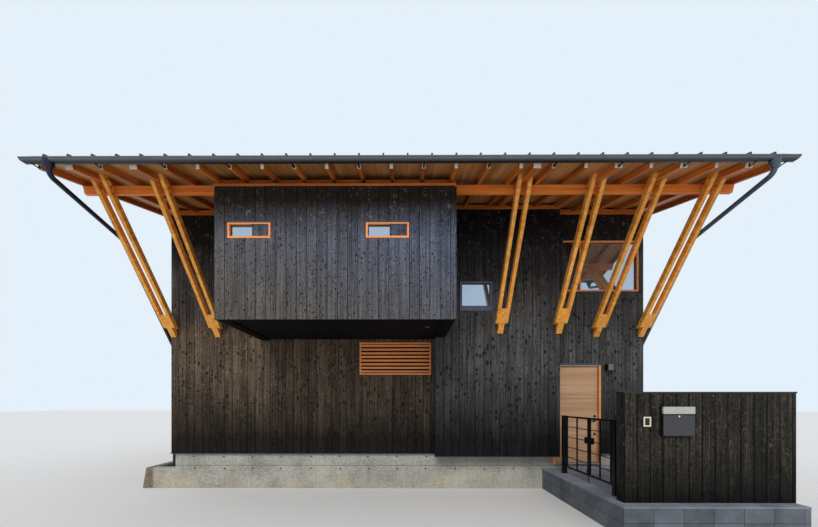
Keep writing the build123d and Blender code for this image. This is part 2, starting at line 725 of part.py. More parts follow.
def make_door():
    """Door frame, the outward-opening leaf, its lever and locks, and its hinge pins."""
    y = (FRONT - FRAME_PROUD, IN_FRONT)
    frame = block((DOOR_LEFT, DOOR_RIGHT), y, (DOOR_SILL, DOOR_HEAD))
    inner_x = (DOOR_LEFT + JAMB, DOOR_RIGHT - JAMB)
    frame -= block(inner_x, y, (DOOR_SILL + THRESHOLD, DOOR_HEAD - JAMB))
    save("door_frame", frame)
    leaf_x = (inner_x[0] + HINGE_GAP, inner_x[1] - SWING_GAP)
    leaf_face = FRONT + LEAF_IN
    leaf_z = (DOOR_SILL + THRESHOLD + LEAF_LIFT, DOOR_HEAD - JAMB - SWING_GAP)
    save("door_leaf", block(leaf_x, (leaf_face, leaf_face + LEAF_T), leaf_z))
    pin_r = HINGE_GAP / 2 - PIN_CLEAR
    pins = [Pos(inner_x[0] + HINGE_GAP / 2, leaf_face, leaf_z[0] + z) * Cylinder(pin_r, DOOR_PIN_H)
            for z in DOOR_PIN_Z]
    save("door_hinge_pins", *pins)
    handle_x = leaf_x[1] - HANDLE_IN
    fittings = []
    for z in LOCK_Z:
        fittings.append(outward(ROSE_R, ROSE_T, handle_x, leaf_face, z))
    lever = outward(ROSE_R, ROSE_T, handle_x, leaf_face, LEVER_Z)
    lever += outward(LEVER_R, LEVER_OUT, handle_x, leaf_face, LEVER_Z)
    bar_x = handle_x - LEVER_L
    lever += Pos(handle_x, leaf_face - LEVER_OUT + LEVER_R, LEVER_Z) * Sphere(LEVER_R)
    bar = Pos(bar_x, leaf_face - LEVER_OUT + LEVER_R, LEVER_Z) * Rot(0, 90, 0)
    lever += bar * Cylinder(LEVER_R, LEVER_L, align=STANDING)
    save("door_handle", lever, *fittings)


def outward(radius, length, x, y, z):
    """A round piece that stands out from a front face."""
    base = Cylinder(radius, length, align=STANDING)
    return Pos(x, y, z) * Rot(90, 0, 0) * base


def make_lamp():
    """The square wall lamp beside the door."""
    x, z = spans(LAMP)
    save("entrance_lamp", block(x, (FRONT - LAMP_OUT, FRONT), z))


def make_step():
    """The raised entrance step and the thin paving on it, which stands a little over its edges."""
    y = (FRONT - STEP_OUT, PLINTH_FRONT)
    save("entrance_step", block((STEP_LEFT, STEP_RIGHT), y, (0, STEP_TOP - PAVING)))
    lip_y = (y[0] - PAVING_LIP, y[1])
    save("step_paving", block((STEP_LEFT - PAVING_LIP, STEP_RIGHT), lip_y, (STEP_TOP - PAVING, STEP_TOP)))


def gate_leaf(hinge_y, meet_y):
    """A leaf of rails, stiles, a middle bar and thin cross bars, between two y places."""
    y = sorted((hinge_y, meet_y))
    z = (GATE_BOTTOM, POST_TOP)
    leaf = block(centred(GATE_X, GATE_RAIL), y, (z[0], z[0] + GATE_RAIL))
    leaf += block(centred(GATE_X, GATE_RAIL), y, (z[1] - GATE_RAIL, z[1]))
    for low in (y[0], y[1] - GATE_STILE):
        leaf += block(centred(GATE_X, GATE_STILE), (low, low + GATE_STILE), z)
    leaf += block(centred(GATE_X, GATE_BAR), centred(sum(y) / 2, GATE_BAR), z)
    rise = (z[1] - z[0] - GATE_RAIL) / (GATE_WIRES + 1)
    for n in range(1, GATE_WIRES + 1):
        middle = z[0] + GATE_RAIL / 2 + n * rise
        leaf += block(centred(GATE_X, GATE_WIRE), y, centred(middle, GATE_WIRE))
    return leaf


def knuckle(pin_y, carrier_y, z):
    """A hinge barrel standing on a level, with the arm that joins it to its post or stile."""
    barrel = Pos(GATE_X, pin_y, z) * Cylinder(KNUCKLE_R, KNUCKLE_H, align=STANDING)
    arm = block(centred(GATE_X, KNUCKLE_ARM), sorted((pin_y, carrier_y)), (z, z + KNUCKLE_H))
    return barrel + arm


def make_gate():
    """Two posts and two leaves that swing out over the step's edge, with a latch where they meet."""
    posts = []
    meets = (FRONT - GATE_SPLIT + SWING_GAP / 2, FRONT - GATE_SPLIT - SWING_GAP / 2)
    levels = (GATE_BOTTOM + KNUCKLE_IN, POST_TOP - KNUCKLE_IN - 2 * KNUCKLE_H)
    for name, out, side, meet_y in zip(("a", "b"), GATE_POST_OUT, (-1, 1), meets):
        middle = FRONT - out
        post_face = middle + side * POST / 2
        pin_y = post_face + side * PIN_OUT
        hinge_y = pin_y + side * PIN_OUT
        post = block(centred(GATE_X, POST), centred(middle, POST), (STEP_TOP, POST_TOP))
        leaf = gate_leaf(hinge_y, meet_y)
        for z in levels:
            post += knuckle(pin_y, post_face, z)
            leaf += knuckle(pin_y, hinge_y, z + KNUCKLE_H + PIN_CLEAR)
        latch_y = sorted((meet_y, meet_y - side * LATCH_L))
        leaf += block(centred(GATE_X, LATCH_T), latch_y, centred(LATCH_Z, LATCH_H))
        if side < 0:
            bolt_y = meet_y + GATE_STILE / 2
            leaf += Pos(GATE_X, bolt_y, STEP_TOP + SWING_GAP) * Cylinder(BOLT_R, BOLT_H, align=STANDING)
        save(f"gate_leaf_{name}", leaf)
        posts.append(post)
    save("gate_posts", *posts)


def make_fence():
    """The boarded screen beside the gate, hollow under its metal cap."""
    x = (FENCE_LEFT, FENCE_RIGHT)
    face = FRONT - FENCE_OUT
    y = (face, face + FENCE_T)
    z = (STEP_TOP, FENCE_TOP)
    boards = block(x, y, z)
    hollow_x = (x[0] + FENCE_BOARD, x[1] - FENCE_BOARD)
    boards -= block(hollow_x, (y[0] + FENCE_BOARD, y[1] - FENCE_BOARD), z)
    save("fence_boards", boards)
    cap_x = (x[0] - CAP_LIP, x[1] + CAP_LIP)
    save("fence_cap", block(cap_x, (y[0] - CAP_LIP, y[1] + CAP_LIP), (z[1], z[1] + CAP_H)))
    box_x, box_z = spans(MAILBOX)
    flap_z = (box_z[1], box_z[1] + FLAP_H)
    mailbox = block(box_x, (face - MAILBOX_OUT, face), box_z)
    save("mailbox", mailbox + block(box_x, (face - FLAP_OUT, face), flap_z))
    phone_x, phone_z = spans(INTERCOM)
    save("intercom", block(phone_x, (face - INTERCOM_OUT, face), phone_z))


make_foundation()
make_floors()
make_front_walls()
make_bay()
make_box()
make_side_and_back_walls()
make_windows()
make_rafters()
make_roof_edges()
make_roof()
make_eave_beam()
make_struts()
make_gutters()
make_downpipes()
make_lamp()
make_step()
make_fence()
make_door()
make_gate()
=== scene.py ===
import json
import math
import random

import bmesh
import bpy
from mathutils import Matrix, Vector


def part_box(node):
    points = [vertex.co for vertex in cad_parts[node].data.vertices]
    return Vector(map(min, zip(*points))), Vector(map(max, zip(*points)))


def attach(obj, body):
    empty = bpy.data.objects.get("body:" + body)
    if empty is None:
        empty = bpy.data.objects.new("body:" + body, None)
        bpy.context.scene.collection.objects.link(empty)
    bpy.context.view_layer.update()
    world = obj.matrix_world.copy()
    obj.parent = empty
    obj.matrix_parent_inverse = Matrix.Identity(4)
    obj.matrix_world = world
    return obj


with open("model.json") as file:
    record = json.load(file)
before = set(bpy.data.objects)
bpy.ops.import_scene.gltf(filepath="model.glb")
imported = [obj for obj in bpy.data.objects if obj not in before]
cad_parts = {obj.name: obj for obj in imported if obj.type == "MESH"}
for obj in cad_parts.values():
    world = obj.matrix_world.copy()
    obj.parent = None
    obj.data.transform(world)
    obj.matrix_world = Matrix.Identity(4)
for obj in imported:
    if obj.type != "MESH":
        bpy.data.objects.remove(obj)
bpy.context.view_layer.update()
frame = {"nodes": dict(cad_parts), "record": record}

NODES = frame["nodes"]
RNG = random.Random(11)
FINISH = {}

# Image frame and camera, worked out from the photograph's vanishing lines
IMAGE_W, IMAGE_H = 818, 527
FOCAL_PX = 370
CENTRE_PX = (402.7, 403)
SENSOR = 36
EYE = (-0.045, -7.6605, 1.76)
YAW = math.radians(0.27)
CLIP_END = 200


def make_camera():
    data = bpy.data.cameras.new("camera")
    data.sensor_width = SENSOR
    data.sensor_fit = "HORIZONTAL"
    data.lens = FOCAL_PX / IMAGE_W * SENSOR
    data.shift_x = (IMAGE_W / 2 - CENTRE_PX[0]) / IMAGE_W
    data.shift_y = (CENTRE_PX[1] - IMAGE_H / 2) / IMAGE_W
    data.clip_end = CLIP_END
    camera = bpy.data.objects.new("camera", data)
    camera.location = EYE
    camera.rotation_euler = (math.pi / 2, 0, YAW)
    bpy.context.scene.collection.objects.link(camera)
    bpy.context.scene.camera = camera


# Node graph helper

NOISE_LOW, NOISE_HIGH = 0.3, 0.7  # nearly all values of a noise lie between these


class Graph:
    """A short way to write the nodes of a material, which is kept in FINISH, or of a world."""

    def __init__(self, name, group=bpy.data.materials):
        self.name, self.owner = name, group.new(name)
        self.owner.use_nodes = True
        self.tree = self.owner.node_tree
        self.coordinates = self.add("TexCoord", {})["Object"]

    def put(self, value, socket):
        """Link a value that is a socket, or set a number, a vector or a colour."""
        if isinstance(value, bpy.types.NodeSocket):
            self.tree.links.new(value, socket)
        else:
            socket.default_value = (*value, 1) if socket.type == "RGBA" else value

    def node(self, kind, inputs, **settings):
        node = self.tree.nodes.new("ShaderNode" + kind)
        for key, value in settings.items():
            setattr(node, key, value)
        for key, value in inputs.items():
            self.put(value, node.inputs[key])
        return node

    def add(self, kind, inputs, **settings):
        """The outputs of a new node."""
        return self.node(kind, inputs, **settings).outputs

    def axes(self):
        """The object's coordinates as outputs X, Y and Z."""
        return self.add("SeparateXYZ", {0: self.coordinates})

    def attribute(self, name):
        return self.add("Attribute", {}, attribute_name=name)

    def stretched(self, scales, turn=(0, 0, 0), shift=None):
        """The object's coordinates turned, moved by shift, then scaled along each axis."""
        vector = self.add("Mapping", {"Vector": self.coordinates, "Rotation": turn})["Vector"]
        if shift is not None:
            vector = self.add("VectorMath", {0: vector, 1: shift}, operation="ADD")["Vector"]
        return self.add("Mapping", {"Vector": vector, "Scale": scales})["Vector"]

    def grain(self, vector, detail, roughness=0.55, distortion=0, scale=1):
        """Noise over a vector."""
        values = {"Vector": vector, "Scale": scale, "Detail": detail,
                  "Roughness": roughness, "Distortion": distortion}
        return self.add("TexNoise", values)["Fac"]

    def noise(self, scale, detail, roughness=0.55):
        """Noise of the same size along every axis."""
        return self.grain(self.coordinates, detail, roughness, scale=scale)

    def cells(self, vector, scale=1):
        """Cells round scattered points: outputs Distance and Color."""
        return self.add("TexVoronoi", {"Vector": vector, "Scale": scale})

    def maths(self, operation, a, b=0, clamp=False):
        inputs = {0: a, 1: b}
        return self.add("Math", inputs, operation=operation, use_clamp=clamp)["Value"]

    def plus(self, *terms):
        total = terms[0]
        for term in terms[1:]:
            total = self.maths("ADD", total, term)
        return total

    def times(self, a, b):
        return self.maths("MULTIPLY", a, b)

    def weigh(self, *terms):
        """The sum of values, each times its share."""
        return self.plus(*(self.times(value, share) for value, share in terms))

    def swing(self, value, share):
        """A value's lead over one half, times a share."""
        return self.times(self.maths("SUBTRACT", value, 0.5), share)

    def between(self, value, low, high, start=0, end=1):
        """Start below low, end above high, and straight from one to the other between."""
        limits = {"Value": value, "From Min": low, "From Max": high, "To Min": start, "To Max": end}
        return self.add("MapRange", limits)["Result"]

    def ramp(self, value, stops):
        node = self.node("ValToRGB", {"Fac": value})
        ramp = node.color_ramp
        while len(ramp.elements) < len(stops):
            ramp.elements.new(0.5)
        for element, (place, colour) in zip(ramp.elements, stops):
            element.position = place
            element.color = (*colour, 1)
        return node.outputs["Color"]

    def grey(self, value, low, high, dark=0, light=1):
        """A grey that goes from dark to light as the value goes from low to high."""
        return self.ramp(value, [(low, (dark, dark, dark)), (high, (light, light, light))])

    def uneven(self, noise, dark, light):
        """A grey that follows a noise from dark to light."""
        return self.grey(noise, NOISE_LOW, NOISE_HIGH, dark, light)

    def contour(self, value, middle, near, far):
        """A line where a value meets the middle, one up to near it and zero from far on."""
        off = self.maths("ABSOLUTE", self.maths("SUBTRACT", value, middle))
        return self.grey(off, near, far, 1, 0)

    def mix(self, factor, a, b, blend="MIX"):
        """Colour a, changed towards b by a factor."""
        inputs = {0: factor, 6: a, 7: b}
        return self.add("Mix", inputs, data_type="RGBA", blend_type=blend)[2]

    def finish(self, colour, roughness, bump=None, depth=0, metallic=0, specular=0.5):
        values = {"Base Color": colour, "Roughness": roughness,
                  "Metallic": metallic, "Specular IOR Level": specular}
        if bump is not None:
            height = {"Height": bump, "Strength": 1, "Distance": depth}
            values["Normal"] = self.add("Bump", height)["Normal"]
        shader = self.tree.nodes["Principled BSDF"]
        for key, value in values.items():
            self.put(value, shader.inputs[key])
        FINISH[self.name] = self.owner


def srgb(r, g, b):
    """A colour as it looks on screen, 0 to 255, made linear."""
    def one(v):
        v /= 255
        return v / 12.92 if v <= 0.04045 else ((v + 0.055) / 1.055) ** 2.4
    return (one(r), one(g), one(b))


# Looks of the kinds of material

def simple(name, colour, roughness, metallic=0, mottle=0.12, specular=0.5):
    """Paint, metal or plastic with a faint mottle and a fine uneven surface."""
    graph = Graph(name)
    cloud = graph.noise(6, 5)
    fine = graph.noise(400, 2)
    dark = tuple(c * (1 - mottle) for c in colour)
    light = tuple(min(1, c * (1 + mottle)) for c in colour)
    tone = graph.ramp(cloud, [(NOISE_LOW, dark), (NOISE_HIGH, light)])
    rough = graph.uneven(cloud, roughness * 0.85, min(1, roughness * 1.15))
    graph.finish(tone, rough, fine, 0.0003, metallic, specular)


def timber(name, dark, middle, light, axis="x", tilt=0, spacing=0, knots=0.045):
    """Sawn timber with its grain along an axis, which may be tilted in side view.

    With a spacing, each timber along x has a stretch of grain and a tone of its own."""
    graph = Graph(name)
    shift = None
    if spacing:
        cell = graph.maths("ROUND", graph.maths("DIVIDE", graph.axes()["X"], spacing))
        chance = graph.add("TexWhiteNoise", {"W": cell}, noise_dimensions="1D")
        far = {0: chance["Color"], "Scale": 30}
        shift = graph.add("VectorMath", far, operation="SCALE")["Vector"]

    def stretched(along, across):
        scales = [along if letter == axis else across for letter in "xyz"]
        return graph.stretched(scales, (tilt, 0, 0), shift)

    rings = graph.grain(stretched(0.7, 16), 5, 0.55, 0.6)
    fine = graph.grain(stretched(3, 130), 4, 0.6)
    cloud = graph.grain(stretched(0.5, 2), 2)
    value = graph.weigh((rings, 0.6), (fine, 0.25), (cloud, 0.15))
    if spacing:
        value = graph.plus(value, graph.swing(chance["Value"], 0.14))
    colour = graph.ramp(value, [(0.34, dark), (0.5, middle), (0.66, light)])
    if knots:
        distance = graph.cells(stretched(1.1, 5))["Distance"]
        spot = graph.grey(distance, knots, knots * 1.6, 0.85, 0)
        colour = graph.mix(spot, colour, (dark[0] * 0.42, dark[1] * 0.26, dark[2] * 0.3))
    height = graph.weigh((rings, 0.5), (fine, 0.5))
    graph.finish(colour, graph.uneven(fine, 0.425, 0.6), height, 0.0012, specular=0.35)


BOARD_TONE = 0.045
KNOT = srgb(12, 13, 20)
SCARS_FADE = 0.25  # height over which the scars come in below the band of painted eave shade


def charred(name, shades, pale, scars, far_shades=None, drift=None, far_again=None, eave_shade=None,
            low_scars=0.35, foot_fade=None, spread=0.10, knots=(16, 16, 10)):
    """Brushed charred boards, each with a stretch of grain of its own.

    The grain runs through three shades that lie spread apart. They drift into far_shades, and
    once more between the heights far_again. Eave_shade is two heights between which the boards go
    over to a darker shade, a painted shade under the eave, and foot_fade is two heights and the
    share of the colour left at the lower one, so that the boards grow darker towards their foot.
    Scars is the strength of the pale curls, with low_scars of it below the painted eave shade.
    Knots is how many cells that may hold a dark knot lie in a metre, along each axis."""
    graph = Graph(name)
    shift = graph.attribute("shift")["Vector"]
    streak = graph.grain(graph.stretched((46, 46, 0.8), shift=shift), 4, 0.6, 0.3)
    fine = graph.grain(graph.stretched((120, 120, 26), shift=shift), 4, 0.6)
    cloud = graph.grain(graph.stretched((4, 4, 1.6), shift=shift), 3)
    value = graph.weigh((streak, 0.40), (fine, 0.45), (cloud, 0.15))
    value = graph.plus(value, graph.swing(graph.attribute("tone")["Fac"], BOARD_TONE))
    places = (0.5 - spread, 0.5, 0.5 + spread)
    colour = graph.ramp(value, list(zip(places, shades)))
    if far_shades:
        far = graph.ramp(value, list(zip(places, far_shades)))
        colour = graph.mix(drifted(graph, cloud, drift, far_again), colour, far)
    patches = graph.grain(graph.stretched((5, 5, 3), shift=shift), 2)
    some = graph.grey(patches, 0.40, 0.50, 0, scars)
    # Painted shade under the eave: between two heights the boards go over to a darker shade, and
    # fewer curls show below it.
    if eave_shade:
        low, high, shade = eave_shade
        shaded_tones = graph.ramp(value, [(places[0], tuple(c * 0.4 for c in shade)), (places[2], shade)])
        colour = graph.mix(rising(graph, cloud, 0.3, low, high), colour, shaded_tones)
        upper = graph.between(graph.axes()["Z"], low - SCARS_FADE, low, low_scars, 1)
        some = graph.times(some, upper)
    knot = speckle(graph, knots, shift, 0.42)
    colour = graph.mix(graph.times(knot, 0.85), colour, KNOT)
    scar = curls(graph, shift)
    colour = graph.mix(graph.times(scar, some), colour, pale)
    # The boards grow darker towards their foot.
    if foot_fade:
        low, high, share = foot_fade
        colour = graph.mix(1, colour, rising(graph, cloud, 0.4, low, high, share), "MULTIPLY")
    relief = graph.weigh((streak, 0.5), (fine, 0.5), (knot, -0.5), (scar, 0.5))
    graph.finish(colour, graph.uneven(fine, 0.55, 0.8), relief, 0.0025, specular=0.15)


def drifted(graph, cloud, drift, again):
    """How far the shades have gone over, by drift along x, drift along z and an offset."""
    split = graph.axes()
    way = graph.plus(graph.times(split["X"], drift[0]), graph.times(split["Z"], drift[1]),
                     graph.swing(cloud, 0.25))
    way = graph.maths("ADD", way, drift[2], clamp=True)
    return graph.maths("MAXIMUM", way, graph.between(split["Z"], *again)) if again else way


def rising(graph, cloud, sway, low, high, start=0):
    """From start to one between two heights, which sway with the cloud."""
    height = graph.plus(graph.axes()["Z"], graph.swing(cloud, sway))
    return graph.between(height, low, high, start, 1)


def speckle(graph, scales, shift, share):
    """Spots of many sizes, one in a cell at most: one inside a spot and zero outside."""
    cells = graph.cells(graph.stretched(scales, shift=shift))
    size = graph.add("SeparateXYZ", {0: cells["Color"]})["X"]
    reach = graph.times(graph.maths("POWER", size, 2), share)
    edge = graph.plus(graph.maths("SUBTRACT", cells["Distance"], reach), 0.5)
    return graph.grey(edge, 0.49, 0.525, 1, 0)


def curls(graph, shift):
    """Short curly strokes: a thin contour of a noise, kept only inside scattered spots."""
    scales = (15, 15, 11)
    field = graph.grain(graph.stretched(scales, (0, 0.7, 0), shift), 1, 0.5, 0.8)
    return graph.times(graph.contour(field, 0.5, 0.010, 0.026), speckle(graph, scales, shift, 1.25))


POUR_LINE = 0.47
PANEL_WIDTH = 1.8
STAINED_FOOT = (0.42, 0.05)
KERB_END = 5.255
RAMP_SHARE = 0.1  # a ramp reads zero to one, so a place along x is scaled down to fit


def concrete(name):
    """Cast concrete with a pour line, panel joints, a rough yellowish foot and a pebbly end."""
    graph = Graph(name)
    base = graph.weigh((graph.noise(1.5, 3), 0.4), (graph.noise(34, 6, 0.7), 0.6))
    colour = graph.ramp(base, [(0.40, srgb(136, 137, 132)), (0.5, srgb(160, 161, 155)),
                               (0.60, srgb(182, 183, 176))])
    split = graph.axes()
    wobble = graph.swing(graph.noise(5, 3), 0.16)
    foot = graph.between(graph.plus(split["Z"], wobble), *STAINED_FOOT)
    rusty = graph.grey(graph.noise(2, 7, 0.65), 0.42, 0.62)
    streaks = graph.grain(graph.stretched((12, 12, 1)), 6)
    grit = graph.noise(90, 4, 0.7)
    height = graph.plus(split["Z"], graph.times(wobble, 0.04))
    line = graph.contour(height, POUR_LINE, 0.0025, 0.006)
    panel = graph.maths("DIVIDE", split["X"], PANEL_WIDTH)
    gap = graph.maths("ABSOLUTE", graph.maths("SUBTRACT", panel, graph.maths("ROUND", panel)))
    pits = graph.cells(graph.coordinates, 22)["Distance"]
    end = graph.times(split["X"], -RAMP_SHARE)
    pebbles = graph.cells(graph.coordinates, 55)["Distance"]
    marks = (
        (graph.times(graph.times(foot, rusty), 0.5), srgb(192, 176, 142)),
        (graph.grey(streaks, 0.5, 0.75, 0, 0.25), srgb(122, 117, 102)),
        (graph.grey(grit, 0.56, 0.68, 0, 0.5), srgb(104, 104, 98)),
        (cracks(graph), srgb(92, 90, 82)),
        (line, srgb(88, 80, 62)),
        (graph.grey(graph.times(gap, PANEL_WIDTH), 0.002, 0.007, 0.25, 0), srgb(110, 104, 88)),
        (graph.grey(pits, 0.05, 0.09, 0.7, 0), srgb(96, 88, 72)),
        (graph.grey(end, KERB_END * RAMP_SHARE, KERB_END * RAMP_SHARE + 0.002),
         graph.ramp(pebbles, [(0.15, srgb(176, 160, 134)), (0.6, srgb(92, 82, 68))])),
    )
    for mask, shade in marks:
        colour = graph.mix(mask, colour, shade)
    relief = graph.plus(graph.noise(260, 3), graph.times(base, 2), graph.times(line, -1))
    graph.finish(colour, graph.uneven(base, 0.75, 0.92), relief, 0.0015, specular=0.3)


def cracks(graph):
    """Thin level cracks that wander and break off."""
    field = graph.grain(graph.stretched((1.6, 1.6, 7)), 6, 0.6)
    some = graph.grey(graph.noise(2.4, 2), 0.48, 0.58, 0, 0.8)
    return graph.times(graph.contour(field, 0.5, 0.002, 0.007), some)


def shaded_metal(name, axis, span, dark, pale):
    """Painted metal that is paler towards one end of a span along an axis, in a faint mottle:
    painted light and shade.
    """
    graph = Graph(name)
    cloud = graph.noise(5, 4)
    share = graph.between(graph.axes()[axis], *span)
    colour = graph.mix(graph.times(share, graph.uneven(cloud, 0.75, 1)), dark, pale)
    rough = graph.uneven(cloud, 0.34, 0.46)
    graph.finish(colour, rough, graph.noise(400, 2), 0.0003, 0.2)


def glazing(name, dark, light):
    """Window glass that shows mostly what it reflects, tinted pale blue as a painted sky
    reflection.
    """
    graph = Graph(name)
    cloud = graph.noise(0.9, 2)
    colour = graph.ramp(cloud, [(0.35, dark), (0.65, light)])
    rough = graph.uneven(cloud, 0.015, 0.04)
    graph.finish(colour, rough, graph.noise(1.6, 1), 0.0008, 0.88, 0.6)


def stone(name, dark, light):
    """Paving or kerb stone with a fine speckle, each block in a tone of its own."""
    graph = Graph(name)
    cloud = graph.noise(3, 5)
    speck = graph.noise(160, 3, 0.7)
    value = graph.weigh((cloud, 0.5), (speck, 0.35), (graph.attribute("tone")["Fac"], 0.15))
    colour = graph.ramp(value, [(0.36, dark), (0.62, light)])
    graph.finish(colour, graph.uneven(cloud, 0.6, 0.85), speck, 0.0012, specular=0.35)


# Finishes

BARK_BROWN = (srgb(40, 33, 26), srgb(80, 68, 57), srgb(120, 104, 88))
BARK_GREY = (srgb(32, 31, 31), srgb(67, 65, 64), srgb(104, 101, 99))
BOX_WARM = (srgb(54, 52, 49), srgb(82, 79, 76), srgb(112, 108, 104))
BOX_COOL = (srgb(50, 56, 70), srgb(79, 88, 110), srgb(109, 118, 142))
BAY_SHADES = (srgb(34, 34, 34), srgb(66, 66, 66), srgb(98, 97, 96))
DOOR_SIDE = (srgb(36, 36, 37), srgb(67, 67, 68), srgb(98, 98, 100))
FENCE_SHADES = (srgb(12, 10, 8), srgb(38, 36, 31), srgb(70, 65, 56))
WALL_DRIFT, BOX_DRIFT = (0.12, -0.30, 0.62), (0.16, 0.40, -0.95)  # along x, along z, offset
# Heights and share of colour left for the walls' darker foot.
WALL_FOOT_FADE = (1.05, 2.45, 0.12)
STRUT_TILT = math.radians(-42)
RAFTER_TILT = math.radians(-14.6)
RAFTER_SPACING = 0.2275
PLYWOOD_WIDTH = 0.91
GUTTER_SHADE_SPAN = (5.070, 5.100)
PIPE_LIGHT_SPAN = (-4, 4)

# Each dark band under the eave given below is painted eave shade.
charred("charred_front", BARK_BROWN, srgb(134, 124, 110), 0.7, BARK_GREY, WALL_DRIFT,
        far_again=(3.2, 3.8), eave_shade=(4.35, 5.05, srgb(34, 32, 32)), low_scars=1,
        foot_fade=WALL_FOOT_FADE)
charred("charred_sides", BARK_BROWN, srgb(134, 124, 110), 0.7, BARK_GREY, WALL_DRIFT,
        foot_fade=WALL_FOOT_FADE)
charred("charred_box", BOX_WARM, srgb(136, 124, 106), 0.6, BOX_COOL, BOX_DRIFT,
        eave_shade=(4.25, 4.86, srgb(46, 39, 34)), spread=0.12, knots=(32, 32, 19))
charred("charred_bay", BAY_SHADES, srgb(120, 118, 112), 0.6,
        eave_shade=(3.6, 5.2, srgb(22, 21, 26)), foot_fade=WALL_FOOT_FADE)
charred("charred_right", DOOR_SIDE, srgb(130, 130, 130), 0.6,
        eave_shade=(4.7, 5.2, srgb(40, 36, 33)), foot_fade=WALL_FOOT_FADE)
charred("charred_fence", FENCE_SHADES, srgb(96, 90, 78), 0.55, foot_fade=(0.50, 1.25, 0.20),
        knots=(28, 28, 16))

timber("floor_wood", srgb(120, 86, 52), srgb(172, 132, 88), srgb(200, 164, 120))
timber("golden", srgb(206, 128, 44), srgb(242, 166, 70), srgb(255, 200, 108), "y", STRUT_TILT)
timber("beam", srgb(200, 104, 38), srgb(240, 138, 60), srgb(252, 166, 86))
timber("trim", srgb(160, 84, 34), srgb(204, 116, 50), srgb(226, 146, 76))
timber("rafter", srgb(138, 70, 24), srgb(194, 108, 42), srgb(220, 138, 62), "y", RAFTER_TILT,
       RAFTER_SPACING)
timber("plywood", srgb(140, 96, 54), srgb(182, 130, 78), srgb(208, 158, 102), "y", RAFTER_TILT,
       PLYWOOD_WIDTH, 0.03)
timber("frame_timber", srgb(214, 120, 62), srgb(240, 152, 90), srgb(250, 176, 116), knots=0)
timber("door_frame", srgb(176, 84, 34), srgb(206, 108, 52), srgb(222, 130, 70), "z", knots=0)
timber("door_plank", srgb(160, 122, 92), srgb(183, 146, 114), srgb(198, 164, 134), knots=0)
timber("door_edge", srgb(176, 136, 104), srgb(194, 156, 122), srgb(206, 172, 138), "z",
       knots=0)
timber("door_stop", srgb(112, 66, 38), srgb(134, 84, 50), srgb(152, 98, 62), "z", knots=0)

concrete("concrete")
stone("paving_stone", srgb(104, 110, 122), srgb(144, 151, 165))
stone("kerb_stone", srgb(66, 71, 80), srgb(108, 114, 124))
stone("step_joint", srgb(108, 114, 122), srgb(150, 156, 164))
stone("kerb_joint", srgb(20, 20, 21), srgb(36, 35, 35))
# Painted shade: the gutter darker along its foot and paler along its rim.
shaded_metal("gutter", "Z", GUTTER_SHADE_SPAN, srgb(26, 30, 38), srgb(98, 104, 110))
# Painted light: the downpipe on the right paler than the one on the left, which is painted in
# shade.
shaded_metal("pipe", "X", PIPE_LIGHT_SPAN, srgb(20, 28, 46), srgb(76, 88, 102))
# The pale blue of the glass is a painted sky reflection.
glazing("glass", srgb(172, 186, 202), srgb(186, 200, 214))
simple("roof_metal", srgb(62, 64, 68), 0.42, 0.3)
simple("flashing", srgb(58, 72, 100), 0.4, 0.2)
simple("fence_cap", srgb(40, 38, 38), 0.4, 0.2)
simple("window_metal", srgb(88, 84, 108), 0.4, 0.1)
simple("steel", srgb(150, 150, 155), 0.3, 1)
simple("nail", srgb(84, 84, 86), 0.5, 0.3)
simple("bolt", srgb(40, 34, 32), 0.4)

simple("board_gap", srgb(8, 7, 7), 0.9, specular=0.1)
simple("tie_hole", srgb(46, 41, 35), 0.9)
simple("gate_black", srgb(9, 9, 11), 0.5, specular=0.3)
simple("gasket", srgb(22, 22, 26), 0.5)
simple("white_paint", srgb(232, 228, 208), 0.5, mottle=0.05)
# Grey that is painted shade over the upper part of the rafter ends.
simple("shaded_paint", srgb(168, 166, 160), 0.6, mottle=0.15)
simple("ivory", srgb(226, 214, 186), 0.45, mottle=0.05)
simple("flap", srgb(170, 172, 166), 0.4, mottle=0.05)
simple("mailbox_body", srgb(54, 54, 58), 0.45, mottle=0.06)
simple("mailbox_case", srgb(8, 8, 9), 0.5, mottle=0.06)
simple("lamp_side", srgb(12, 12, 13), 0.6, specular=0.2)
simple("lamp_face", srgb(100, 100, 98), 0.45)
simple("soffit_board", srgb(12, 12, 15), 0.9, mottle=0.3, specular=0.1)

# What the CAD's slots wear where the name of the finish differs, and the nodes that differ
SLOT_FINISH = {
    "charred_board": "board_gap", "golden_timber": "golden", "rafter_timber": "rafter",
    "dark_metal": "roof_metal", "black_metal": "gate_black", "door_wood": "door_frame",
    "clear_glass": "glass", "paving": "step_joint", "kerb_block": "kerb_joint",
    "pale_plastic": "ivory", "grey_plastic": "mailbox_case", "lamp_metal": "lamp_side",
    "dark_soffit": "soffit_board",
}
NODE_FINISH = {
    "eave_beams": "beam", "ridge_beam": "beam", "gutters": "gutter", "downpipes": "pipe",
    "wall_top_trims": "trim", "rafter_blocking": "trim", "door_handle": "bolt",
    "fence_cap": "fence_cap", "intercom": "bolt",
}


def dress_nodes():
    for row in frame["record"]["subparts"]:
        name, slot = row["node"], row["material_slot"]
        finish = NODE_FINISH.get(name, SLOT_FINISH.get(slot, slot))
        materials = NODES[name].data.materials
        materials.clear()
        materials.append(FINISH[finish])


# Where the solids are

